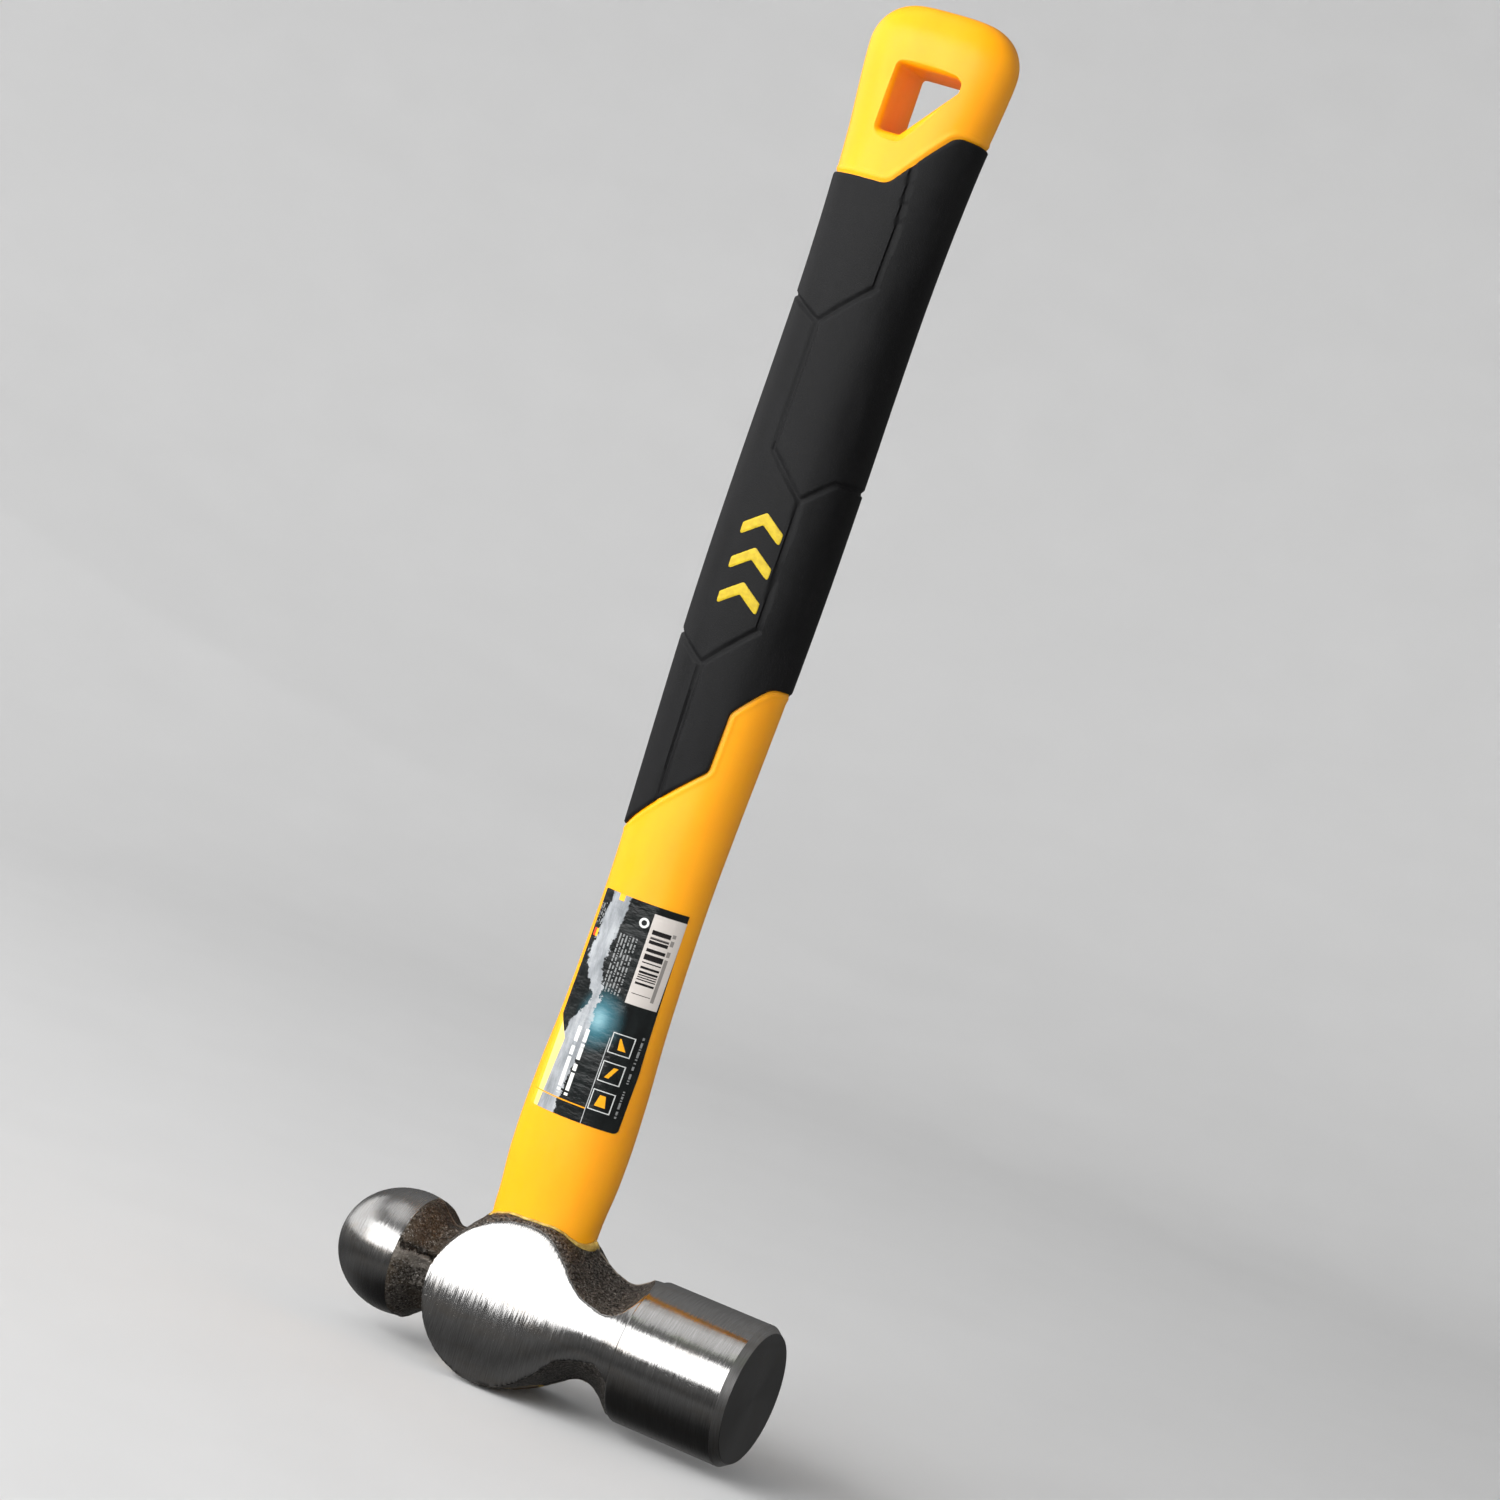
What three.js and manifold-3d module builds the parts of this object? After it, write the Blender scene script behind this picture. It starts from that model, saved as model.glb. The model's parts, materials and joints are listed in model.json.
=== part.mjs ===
// Ball peen hammer, 32 oz class, with a fibreglass-cored handle. Millimetres, +Z up the handle.
//
// The origin is the middle of the flat crown face, on the handle's axis: the head is at the bottom and
// the butt is at the top. +X points along the head's axis, from the ball peen to the striking face.
// The object is a mirror image of itself across the plane y = 0, apart from the label and the emblem.
import * as THREE from "three";
import { mergeVertices } from "three/addons/utils/BufferGeometryUtils.js";
import Module from "manifold-3d";

const wasm = await Module();
wasm.setup();

// ---------------------------------------------------------------- driving dimensions

const GAP = 0.2; // clearance of every glued or moulded joint, on each piece
const HEAD_AXIS_Z = 22.9; // height of the head's axis above the crown face

const POLL = { radius: 19.7, faceRadius: 18.1, face: 71.9, chamfer: 2.3, back: 38.2, step: 0.6 };
const BALL = { radius: 17.1, rimRadius: 16.7, rim: -32, widest: -36, apex: -54.9, tipRadius: 1.2 };
const BOSS = { radius: 25.5, x: 2, z: 0.4, draft: 0.19 };
const CHEEK = { halfWidth: 18.6, curve: 72, drop: 7.9, end: 4 };
const NECK = { halfWidth: 18, curve: 19, x: 31 };
const BALL_NECK = { radius: 11.8, sides: 8, x: -24, start: -14 };
const FORGING_FILLET = 3.2;
const MOUTH_RIM = { stock: 0.3, blend: 3.6, start: 12, end: 22 }; // rounded shoulder above each cheek

// Forged outline from the boss to the poll, as [x, half height towards the handle, its draft, half height
// towards the crown, its draft].
const FORGING = [
  [2, 25.9, 0.19, 25.1, 0.19],
  [8, 24.9, 0.19, 22, 0.06],
  [13.5, 22, 0.24, 19.3, 0.1],
  [18.8, 19.5, 0.45, 15.8, 0.2],
  [22.5, 17.4, 0.46, 13.4, 0.3],
  [26.5, 15.9, 0.43, 13, 0.39],
  [30.5, 15.7, 0.46, 15.1, 0.57],
  [33.8, 17.6, 0.53, 18.6, 0.78],
  [38.2, 22.5, 0.6, 23, 0.85],
];

// Eye of the head: an hourglass hole, given as [height, half length in x, half width in y].
const EYE = [
  [-1, 15.3, 10.5],
  [20, 14.1, 9.4],
  [38, 14.9, 10.3],
  [42, 16.1, 11.1],
  [52, 16.4, 11.3],
];
const TANG_INSET = 1.4; // the jacket's tang inside the waist of the eye
const SEAL_BASE = 39.5; // the bonding resin ends here and the mouth seal begins
const SEAL_PROUD = 0.7; // the seal's bead above the forged surface

// Outside of the yellow jacket, as [height, half length in x, half thickness in y, squareness].
const JACKET = [
  [38, 14.2, 9.6, 2],
  [43, 15.0, 10.5, 2],
  [50, 15.3, 11.0, 2],
  [60, 16.1, 11.8, 2],
  [70, 16.3, 12.2, 2],
  [85, 15.9, 12.2, 2],
  [101, 15.0, 11.8, 2],
  [120, 14.5, 11.6, 2],
  [140, 14.4, 11.6, 2],
  [158, 14.8, 11.9, 2.05],
  [181, 15.6, 12.4, 2.1],
  [205, 16.4, 12.8, 2.15],
  [229, 16.8, 13.0, 2.2],
  [257, 16.9, 12.9, 2.2],
  [285, 16.8, 12.6, 2.2],
  [310, 16.9, 12.3, 2.25],
  [333, 17.7, 11.9, 2.35],
  [349, 18.8, 11.5, 2.4],
  [362, 20.2, 11.1, 2.5],
  [371, 21.0, 10.8, 2.5],
];
const BUTT = { top: 384.1, roundStart: 371, sideRound: 12, edgeRound: 6.5, swell: 0.5, rings: 6 };

const GRIP = { proud: 0.6, thickness: 2.4 };
// Ends of the grip, seen square on to the cheek, from the ball side to the striking side.
const GRIP_LOWER_EDGE = [
  [-26, 152.5],
  [-13.5, 152.9],
  [6.6, 173.3],
  [7.5, 175.5],
  [7.5, 190.4],
  [14.6, 199.8],
  [26, 200.1],
];
const GRIP_UPPER_EDGE = [[26, 352.5], [14.4, 352.4], [1.2, 335.2], [-26, 335.2]];

const CORE = { radius: 6.5, top: 335, sides: 24 };

// Hanging hole through the butt, seen square on to the cheek.
const HOLE = [[-7.4, 348.9], [-1.2, 348.9], [10.9, 363.5], [10.9, 366], [9.3, 367], [-7.4, 367]];

const LABEL = { low: 74.8, high: 135.6, left: -12, right: 14, lift: 0.25, thickness: 0.3 };

// Three chevrons on the front of the grip.
const EMBLEM = { count: 3, base: 216.5, pitch: 9.6, halfWidth: 6, bar: 3.4, rise: 4.2, depth: 0.9, proud: 0.15 };

const AROUND = { head: 40, handle: 32, eye: 32 };

const COLOUR = {
  steel: { color: 0xb4b2ae, roughness: 0.3, metalness: 1 },
  glassFibre: { color: 0xd8d0b4, roughness: 0.55, metalness: 0 },
  jacket: { color: 0xffbf1f, roughness: 0.38, metalness: 0 },
  grip: { color: 0x262627, roughness: 0.72, metalness: 0 },
  resin: { color: 0xc9a45a, roughness: 0.35, metalness: 0 },
  label: { color: 0x15181b, roughness: 0.25, metalness: 0 },
  emblem: { color: 0xf1d81c, roughness: 0.5, metalness: 0 },
};

// ---------------------------------------------------------------- solids and meshes

const group = new THREE.Group();
group.name = "ball_peen_hammer";

function solid(geometry) {
  const bare = geometry.clone();
  bare.deleteAttribute("normal");
  bare.deleteAttribute("uv");
  const merged = mergeVertices(bare, 1e-4);
  return new wasm.Manifold(
    new wasm.Mesh({
      numProp: 3,
      vertProperties: new Float32Array(merged.attributes.position.array),
      triVerts: new Uint32Array(merged.index.array),
    }),
  );
}

function add(name, body, finish) {
  const surface = body.getMesh();
  const geometry = new THREE.BufferGeometry();
  geometry.setAttribute("position", new THREE.BufferAttribute(surface.vertProperties, 3));
  geometry.setIndex(new THREE.BufferAttribute(surface.triVerts, 1));
  geometry.computeVertexNormals();
  const mesh = new THREE.Mesh(geometry, new THREE.MeshStandardMaterial(finish));
  mesh.name = name;
  group.add(mesh);
}

// A cylinder with flat caps whose rings are re-formed one by one. place(ring, angle, reach) gives the
// new point; reach is 1 on the wall and 0 at the middle of a cap.
function reformed(rings, around, place) {
  const geometry = new THREE.CylinderGeometry(1, 1, 1, around, rings.length - 1);
  const position = geometry.attributes.position;
  for (let i = 0; i < position.count; i += 1) {
    const ring = rings[Math.round((position.getY(i) + 0.5) * (rings.length - 1))];
    const reach = Math.min(1, Math.hypot(position.getX(i), position.getZ(i)));
    const angle = Math.atan2(-position.getZ(i), position.getX(i));
    const point = place(ring, angle, reach);
    position.setXYZ(i, point.x, point.y, point.z);
  }
  return solid(geometry);
}

function power(value, exponent) {
  return Math.sign(value) * Math.abs(value) ** exponent;
}

// An upright loft through rings of [height, half length, half thickness, squareness].
function loft(rings, around = AROUND.handle, grow = 0) {
  return reformed(rings, around, ([z, a, b, square = 2], angle, reach) => {
    const x = (a + grow) * power(Math.cos(angle), 2 / square) * reach;
    const y = (b + grow) * power(Math.sin(angle), 2 / square) * reach;
    return new THREE.Vector3(x, y, z);
  });
}

// A prism through the whole thickness, from an outline in the plane of the head and handle.
function prism(outline, nearY, farY) {
  const shape = new THREE.Shape(outline.map(([x, z]) => new THREE.Vector2(x, z)));
  const geometry = new THREE.ExtrudeGeometry(shape, { depth: farY - nearY, bevelEnabled: false });
  geometry.rotateX(Math.PI / 2);
  geometry.translate(0, farY, 0);
  return solid(geometry);
}

function block(lowX, highX, lowZ, highZ) {
  return prism([[lowX, lowZ], [highX, lowZ], [highX, highZ], [lowX, highZ]], -40, 40);
}

// The ring of a table at any height, by straight lines between its entries.
function ringAt(table, z) {
  const upper = Math.max(1, table.findIndex((ring) => ring[0] >= z));
  const [low, high] = [table[upper - 1], table[upper]];
  const share = (z - low[0]) / (high[0] - low[0]);
  return low.map((value, i) => THREE.MathUtils.lerp(value, high[i], share));
}

// ---------------------------------------------------------------- forged and turned head

function smoothMax(a, b, blend) {
  const share = THREE.MathUtils.clamp(0.5 + (a - b) / (2 * blend), 0, 1);
  return THREE.MathUtils.lerp(b, a, share) + blend * share * (1 - share);
}

function smoothMin(a, b, blend) {
  return -smoothMax(-a, -b, blend);
}

// Turned surface of the cheeks and of the poll: its distance from the head's axis, in a direction given by
// its share towards the cheek, side, and its share towards the handle, rise.
function turnedReach(x, side, rise) {
  if (x >= POLL.back) {
    const inChamfer = Math.max(0, (x - POLL.face + POLL.chamfer) / POLL.chamfer);
    return THREE.MathUtils.lerp(POLL.radius, POLL.faceRadius, inChamfer);
  }
  const toNeck = THREE.MathUtils.smoothstep(x, CHEEK.end, NECK.x);
  const toPoll = THREE.MathUtils.smoothstep(x, NECK.x, POLL.back);
  const waist = THREE.MathUtils.lerp(CHEEK.halfWidth, NECK.halfWidth, toNeck);
  const halfWidth = waist + (POLL.radius - POLL.step - NECK.halfWidth) * toPoll;
  const curve = THREE.MathUtils.lerp(CHEEK.curve, NECK.curve, toNeck);
  const centre = halfWidth - curve;
  const drop = CHEEK.drop * (1 - toNeck);
  const along = side * centre - rise * drop;
  return along + Math.sqrt(along ** 2 + curve ** 2 - centre ** 2 - drop ** 2);
}

// Round boss about the eye, with draft from the parting plane to the cheeks.
function bossReach(x, side, rise) {
  const along = x - BOSS.x;
  const a = rise ** 2 - (BOSS.draft * side) ** 2;
  const b = BOSS.draft * side * BOSS.radius;
  const c = along ** 2 - BOSS.radius ** 2;
  if (c >= 0) {
    return 0;
  }
  if (Math.abs(a) < 1e-6) {
    return -c / (2 * b);
  }
  const root = b ** 2 - a * c;
  return root > 0 ? (-b + Math.sqrt(root)) / a : 0;
}

// Forged body: the round boss, and from its middle a waisted neck that runs out to the poll.
function bodyReach(x, side, rise) {
  if (x < BOSS.x) {
    return bossReach(x, side, Math.abs(rise)) + BOSS.z * rise * THREE.MathUtils.smoothstep(x, -22, -14);
  }
  const [, up, upDraft, down, downDraft] = ringAt(FORGING, x);
  return rise > 0 ? up / (rise + upDraft * side) : down / (downDraft * side - rise);
}

// The forging is rounded over beside the mouth of the eye, so the turned cheek ends below the mouth.
function rimmed(forged, turned, x, rise) {
  const nearMouth = THREE.MathUtils.smoothstep(rise, 0, 0.5) * THREE.MathUtils.smoothstep(x, -26, -18);
  const share = nearMouth * (1 - THREE.MathUtils.smoothstep(x, MOUTH_RIM.start, MOUTH_RIM.end));
  return smoothMin(forged, turned + MOUTH_RIM.stock, Math.max(0.01, MOUTH_RIM.blend * share));
}

// Eight-sided neck behind the ball, which swells to the ball's back edge.
function ballNeckReach(x, angle) {
  const flat = (2 * Math.PI) / BALL_NECK.sides;
  const offFlat = Math.abs(((angle + 40 * flat) % flat) - flat / 2);
  const octagon = BALL_NECK.radius / Math.cos(flat / 2 - offFlat);
  const share = THREE.MathUtils.clamp((BALL_NECK.x - x) / (BALL_NECK.x - BALL.rim), 0, 1);
  const onset = THREE.MathUtils.smoothstep(-x, -BALL_NECK.start, 6 - BALL_NECK.start);
  return onset * (octagon + (BALL.rimRadius - octagon) * Math.sin((share * Math.PI) / 2) ** 2);
}

function ballReach(x) {
  if (x > BALL.widest) {
    const share = (x - BALL.widest) / (BALL.rim - BALL.widest);
    return THREE.MathUtils.lerp(BALL.radius, BALL.rimRadius, share ** 2);
  }
  const share = (BALL.widest - x) / (BALL.widest - BALL.apex);
  return Math.max(BALL.tipRadius, BALL.radius * Math.sqrt(Math.max(0, 1 - share ** 2)));
}

function headReach(x, angle) {
  if (x <= BALL.rim) {
    return ballReach(x);
  }
  const side = Math.abs(Math.sin(angle));
  const rise = Math.cos(angle);
  const turned = turnedReach(x, side, rise);
  const forged = smoothMax(bodyReach(x, side, rise), ballNeckReach(x, angle), FORGING_FILLET);
  return x >= POLL.back ? turned : Math.min(rimmed(forged, turned, x, rise), turned);
}

function headStations() {
  const stations = [];
  for (let i = 0; i < 8; i += 1) {
    stations.push(THREE.MathUtils.lerp(BALL.widest, BALL.apex, Math.cos((i / 16) * Math.PI)));
  }
  stations.push(BALL.widest, BALL.rim);
  for (let x = BALL.rim + 1.5; x < POLL.back - 1; x += x < BOSS.x - 20 ? 1.5 : 3) {
    stations.push(x);
  }
  return stations.concat([POLL.back - 0.2, POLL.back, 54, POLL.face - POLL.chamfer, POLL.face]);
}

function headBlank() {
  return reformed(headStations(), AROUND.head, (x, angle, reach) => {
    const r = headReach(x, angle) * reach;
    return new THREE.Vector3(x, -r * Math.sin(angle), HEAD_AXIS_Z + r * Math.cos(angle));
  });
}

const blank = headBlank().subtract(block(-60, 80, -10, 0));
add("hammer_head", blank.subtract(loft(EYE, AROUND.eye)), COLOUR.steel);

// Everything in the eye is dressed flush with the crown, which is flat in the middle.
const belowCrown = block(-30, 30, -10, 12).subtract(blank);

// ---------------------------------------------------------------- handle

const crownRing = [0, EYE[0][1] - TANG_INSET, EYE[0][2] - TANG_INSET, 2];
const waistRing = [EYE[1][0], EYE[1][1] - TANG_INSET, EYE[1][2] - TANG_INSET, 2];

// The last rings turn the straight sides over into the rounded end of the butt.
function buttRings() {
  const [, a, b, square] = JACKET[JACKET.length - 1];
  const rings = [];
  for (let i = 1; i <= BUTT.rings; i += 1) {
    const turn = (i / BUTT.rings) * (Math.PI / 2);
    const z = THREE.MathUtils.lerp(BUTT.roundStart, BUTT.top, Math.sin(turn));
    const inset = 1 - Math.cos(turn);
    const halfLength = a + BUTT.swell * Math.sin(2 * turn) - BUTT.sideRound * inset;
    rings.push([z, halfLength, b - BUTT.edgeRound * inset, square]);
  }
  return rings;
}

const jacketRings = [crownRing, waistRing, ...JACKET, ...buttRings()];
const coreBore = loft([[-1, CORE.radius, CORE.radius], [CORE.top + GAP, CORE.radius, CORE.radius]], CORE.sides, GAP);
const gripOutline = [...GRIP_LOWER_EDGE, ...GRIP_UPPER_EDGE];
const gripPrism = prism(gripOutline, -30, 30);

// The same outline opened by the joint's clearance at both ends.
const openedOutline = [
  ...GRIP_LOWER_EDGE.map(([x, z]) => [x, z - GAP]),
  ...GRIP_UPPER_EDGE.map(([x, z]) => [x, z + GAP]),
];

function gripRings(inset) {
  const [low, high] = [GRIP_LOWER_EDGE[0][1] - 4, GRIP_UPPER_EDGE[0][1] + 4];
  const inner = JACKET.filter(([z]) => z > low + 3 && z < high - 3);
  return [ringAt(JACKET, low), ...inner, ringAt(JACKET, high)].map(([z, a, b, n]) => [z, a - inset, b - inset, n]);
}

const gripFloor = gripRings(GRIP.thickness - GRIP.proud);
const gripRecess = prism(openedOutline, -30, 30).subtract(loft(gripFloor));
const shell = loft(jacketRings).subtract(belowCrown).subtract(coreBore);
add("handle_jacket", shell.subtract(gripRecess).subtract(prism(HOLE, -30, 30)), COLOUR.jacket);

const core = new THREE.CylinderGeometry(CORE.radius, CORE.radius, CORE.top, CORE.sides);
core.rotateX(Math.PI / 2);
core.translate(0, 0, CORE.top / 2);
add("fibreglass_core", solid(core).subtract(belowCrown), COLOUR.glassFibre);

// ---------------------------------------------------------------- grip and its emblem

function chevron(index, grow) {
  const base = EMBLEM.base + index * EMBLEM.pitch - grow;
  const [w, bar] = [EMBLEM.halfWidth + grow, EMBLEM.bar + 2 * grow];
  const outline = [
    [-w, base],
    [0, base + EMBLEM.rise],
    [w, base],
    [w, base + bar],
    [0, base + bar + EMBLEM.rise],
    [-w, base + bar],
  ];
  return prism(outline, -30, 0);
}

const gripOuter = loft(gripRings(-GRIP.proud));
const inlayFloor = loft(gripRings(EMBLEM.depth - GRIP.proud));
const inlayTop = loft(gripRings(-GRIP.proud - EMBLEM.proud));
let grip = gripOuter.intersect(gripPrism).subtract(loft(gripFloor, AROUND.handle, GAP));
for (let i = 0; i < EMBLEM.count; i += 1) {
  grip = grip.subtract(chevron(i, GAP).subtract(inlayFloor));
}
add("grip_sleeve", grip, COLOUR.grip);

const inlayBed = loft(gripRings(EMBLEM.depth - GRIP.proud - GAP));
for (let i = 0; i < EMBLEM.count; i += 1) {
  add(`grip_emblem_${i + 1}`, chevron(i, 0).intersect(inlayTop).subtract(inlayBed), COLOUR.emblem);
}

// ---------------------------------------------------------------- bonding resin, mouth seal, label

const eyeFill = loft(EYE, AROUND.eye, -GAP).subtract(loft(jacketRings, AROUND.handle, GAP));
add("eye_resin", eyeFill.intersect(block(-30, 30, 0, SEAL_BASE - GAP)).subtract(belowCrown), COLOUR.resin);

const bead = headBlank().translate(0, 0, SEAL_PROUD).intersect(block(-30, 30, SEAL_BASE, 60));
add("mouth_seal", eyeFill.intersect(bead), COLOUR.resin);

const labelRings = JACKET.filter(([z]) => z > 60 && z < 150);
const labelPrism = prism(
  [[LABEL.left, LABEL.low], [LABEL.right, LABEL.low], [LABEL.right, LABEL.high], [LABEL.left, LABEL.high]],
  -30,
  0,
);
const labelFilm = loft(labelRings, AROUND.handle, LABEL.lift + LABEL.thickness)
  .subtract(loft(labelRings, AROUND.handle, LABEL.lift));
add("product_label", labelFilm.intersect(labelPrism), COLOUR.label);

export default group;
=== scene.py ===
"""Looks of the ball peen hammer: fine meshes, materials, a pale studio and the camera.

Pieces are worked out in millimetres, in the part's own frame: +Z up the handle, +X from the
ball peen to the striking face, origin in the middle of the crown face.
"""
import json
import math
from types import SimpleNamespace as Record

import bpy
import numpy as np
from mathutils import Matrix, Vector


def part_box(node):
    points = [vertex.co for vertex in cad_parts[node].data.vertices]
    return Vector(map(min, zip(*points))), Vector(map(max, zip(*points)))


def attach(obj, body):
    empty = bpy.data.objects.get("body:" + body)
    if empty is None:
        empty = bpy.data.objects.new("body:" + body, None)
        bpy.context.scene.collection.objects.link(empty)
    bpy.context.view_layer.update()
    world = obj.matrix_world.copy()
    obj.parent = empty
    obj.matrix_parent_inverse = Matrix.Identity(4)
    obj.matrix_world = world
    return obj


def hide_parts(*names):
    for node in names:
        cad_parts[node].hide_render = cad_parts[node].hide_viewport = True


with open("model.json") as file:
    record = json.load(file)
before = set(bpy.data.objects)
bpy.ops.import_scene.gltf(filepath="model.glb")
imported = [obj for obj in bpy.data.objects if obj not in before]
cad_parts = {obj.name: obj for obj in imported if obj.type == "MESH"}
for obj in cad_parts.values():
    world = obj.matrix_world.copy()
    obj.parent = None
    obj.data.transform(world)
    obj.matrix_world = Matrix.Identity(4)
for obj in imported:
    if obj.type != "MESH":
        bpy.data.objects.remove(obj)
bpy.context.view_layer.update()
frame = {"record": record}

MM = 0.001

# -------- dimensions, in millimetres

striking_face = next(m for m in frame["record"]["mounts"] if m["name"] == "striking_face")
head_low, head_high = (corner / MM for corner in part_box("hammer_head"))
jacket_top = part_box("handle_jacket")[1].z / MM
core_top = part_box("fibreglass_core")[1].z / MM
core_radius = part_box("fibreglass_core")[1].y / MM
seal_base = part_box("mouth_seal")[0].z / MM

HEAD_AXIS_Z = striking_face["pos_m"][2] / MM
POLL = Record(radius=head_high.y, face_radius=18.1, chamfer=2.3, back=38.2, step=0.6)
POLL.face, POLL.back_round, POLL.back_drop = head_high.x, 0.5, 0.4
BALL = Record(radius=17.1, rim_radius=16.7, rim=-32.0, widest=-36.0, apex=head_low.x)
BOSS = Record(radius=25.5, x=2.0, z=0.4, draft=0.19)
# cheeks and neck are cut to arcs about lines that run along the head
CHEEK = Record(half_width=18.6, curve=72.0, drop=7.9, end=4.0)
NECK = Record(half_width=18.0, curve=19.0, x=31.0)
BALL_NECK = Record(radius=11.8, sides=8, x=-24.0, start=-14.0)
FORGING_FILLET = 3.2
# rounded shoulder of the forging between the mouth of the eye and each cheek
MOUTH_RIM = Record(stock=0.3, blend=3.6, start=12.0, end=22.0)
EDGE_ROUND = 0.16
# parting line, die step on the ball's neck, and unevenness of the forging
FLASH = Record(height=0.35, half_width=0.45)
LEDGE = Record(angle=17.0, half_angle=3.2, depth=1.1, step=1.0, fade=16.0)
SKIN = Record(waves=46, low=1.2, high=5.0, height=0.055)

# Forged outline from the boss to the poll: x, half height towards the handle, its draft,
# half height towards the crown, its draft
FORGING = [
    (2.0, 25.9, 0.19, 25.1, 0.19), (8.0, 24.9, 0.19, 22.0, 0.06), (13.5, 22.0, 0.24, 19.3, 0.10),
    (18.8, 19.5, 0.45, 15.8, 0.20), (22.5, 17.4, 0.46, 13.4, 0.30), (26.5, 15.9, 0.43, 13.0, 0.39),
    (30.5, 15.7, 0.46, 15.1, 0.57), (33.8, 17.6, 0.53, 18.6, 0.78), (38.2, 22.5, 0.60, 23.0, 0.85),
]

# height, half length in x, half width in y
EYE = [(-1, 15.3, 10.5), (20, 14.1, 9.4), (38, 14.9, 10.3), (42, 16.1, 11.1), (52, 16.4, 11.3)]

# height, half length in x, half thickness in y, squareness
JACKET = [
    (0, 13.9, 9.1, 2), (20, 12.7, 8.0, 2), (38, 14.2, 9.6, 2),
    (43, 15.0, 10.5, 2), (50, 15.3, 11.0, 2), (60, 16.1, 11.8, 2),
    (70, 16.3, 12.2, 2), (85, 15.9, 12.2, 2), (101, 15.0, 11.8, 2),
    (120, 14.5, 11.6, 2), (140, 14.4, 11.6, 2), (158, 14.8, 11.9, 2.05),
    (181, 15.6, 12.4, 2.1), (205, 16.4, 12.8, 2.15), (229, 16.8, 13.0, 2.2),
    (257, 16.9, 12.9, 2.2), (285, 16.8, 12.6, 2.2), (310, 16.9, 12.3, 2.25),
    (333, 17.7, 11.9, 2.35), (349, 18.8, 11.5, 2.4), (362, 20.2, 11.1, 2.5),
    (371, 21.0, 10.8, 2.5),
]
BUTT = Record(start=371.0, side_round=12.0, edge_round=6.5, swell=0.5)

GRIP = Record(proud=0.6, thickness=2.4, edge_round=0.45, low_corner=3.2, high_corner=4.6)
GRIP_LOWER = [(-26, 152.5), (-13.5, 152.9), (6.9, 173.6), (7.5, 190.2), (14.6, 199.8), (26, 200.1)]
GRIP_UPPER = [(26, 352.5), (14.4, 352.4), (1.2, 335.2), (-26, 335.2)]
RIDGE = Record(at=1.3, width=0.9, height=0.22, notch=0.35)

# The channels that divide the grip into long hexagons, seen square on.
CHANNEL = Record(depth=0.6, floor=0.42, shoulder=0.45)
CHANNELS = [
    [
        (6.2, 346), (7.6, 325), (7.4, 308), (-4.7, 295.3), (-4.5, 259.8),
        (7.0, 248.9), (7.6, 213.2), (-4.4, 200.2), (-4.0, 156),
    ],
    [(-4.7, 295.3), (-20, 303.5)],
    [(7.0, 248.9), (13.6, 256.2), (20, 256.6)],
    [(-4.4, 200.2), (-20, 209.5)],
]

HOLE = [(-7.4, 348.9), (-1.2, 348.9), (10.9, 363.5), (10.9, 366), (9.3, 367), (-7.4, 367)]
HOLE_CORNER = 1.2
HOLE_FILLET = Record(across=2.6, deep=3.0, surface=11.3)

# gap between pieces that touch, and between the resin and what it fills
CLEARANCE = 0.05
RESIN_GAP = 0.04

LABEL = Record(low=74.8, high=135.6, left=-11.6, right=14.0, corner=1.3)
LABEL_FILM = Record(lift=0.05, thickness=0.12)
EMBLEM = Record(count=3, base=216.5, pitch=9.6, half_width=6.0, bar=3.4, rise=4.2)
INLAY = Record(sink=0.75, proud=0.12, edge_width=0.4, edge_drop=0.25)

# bead at the mouth of the eye, thicker at the corner towards the poll
SEAL = Record(half_length=15.5, half_width=10.9, radius=0.42, uneven=0.06, sunk=0.2, tall=1.15)
SEAL_CORNER = Record(angle=0.55, extra=0.85)

# -------- meshes


def make_object(name, points, faces):
    mesh = bpy.data.meshes.new(name)
    mesh.from_pydata((np.asarray(points) * MM).tolist(), [], faces)
    mesh.update()
    piece = bpy.data.objects.new(name, mesh)
    bpy.context.scene.collection.objects.link(piece)
    return piece


def quads(index, closed=False):
    """Faces between neighbouring rings of vertex numbers; closed joins the last to the first."""
    after = np.roll(index, -1, axis=1)
    ring = [index, after, np.roll(after, -1, axis=0), np.roll(index, -1, axis=0)]
    faces = np.stack(ring, axis=-1)
    return (faces if closed else faces[:-1]).reshape(-1, 4).tolist()


def tube(name, rows):
    """A closed body from rings of points (ring, around, xyz), with a fan on each end."""
    rows = np.asarray(rows)
    count = rows.shape[0] * rows.shape[1]
    index = np.arange(count).reshape(rows.shape[:2])
    first, last = index[0].tolist(), index[-1].tolist()
    fans = [[count, b, a] for a, b in zip(first, first[1:] + first[:1])]
    fans += [[count + 1, a, b] for a, b in zip(last, last[1:] + last[:1])]
    points = np.vstack([rows.reshape(-1, 3), rows[0].mean(axis=0), rows[-1].mean(axis=0)])
    return make_object(name, points, quads(index) + fans)


def ring_tube(name, rows):
    rows = np.asarray(rows)
    index = np.arange(rows.shape[0] * rows.shape[1]).reshape(rows.shape[:2])
    return make_object(name, rows.reshape(-1, 3), quads(index, closed=True))


def combine(piece, cutter, operation):
    """Joins or cuts a piece by another, and uses the other one up."""
    change = piece.modifiers.new("combine", "BOOLEAN")
    change.solver = "MANIFOLD"
    change.operation = operation
    change.object = cutter
    graph = bpy.context.evaluated_depsgraph_get()
    mesh = bpy.data.meshes.new_from_object(piece.evaluated_get(graph))
    piece.modifiers.clear()
    piece.data = mesh
    bpy.data.objects.remove(cutter)
    return piece


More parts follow.
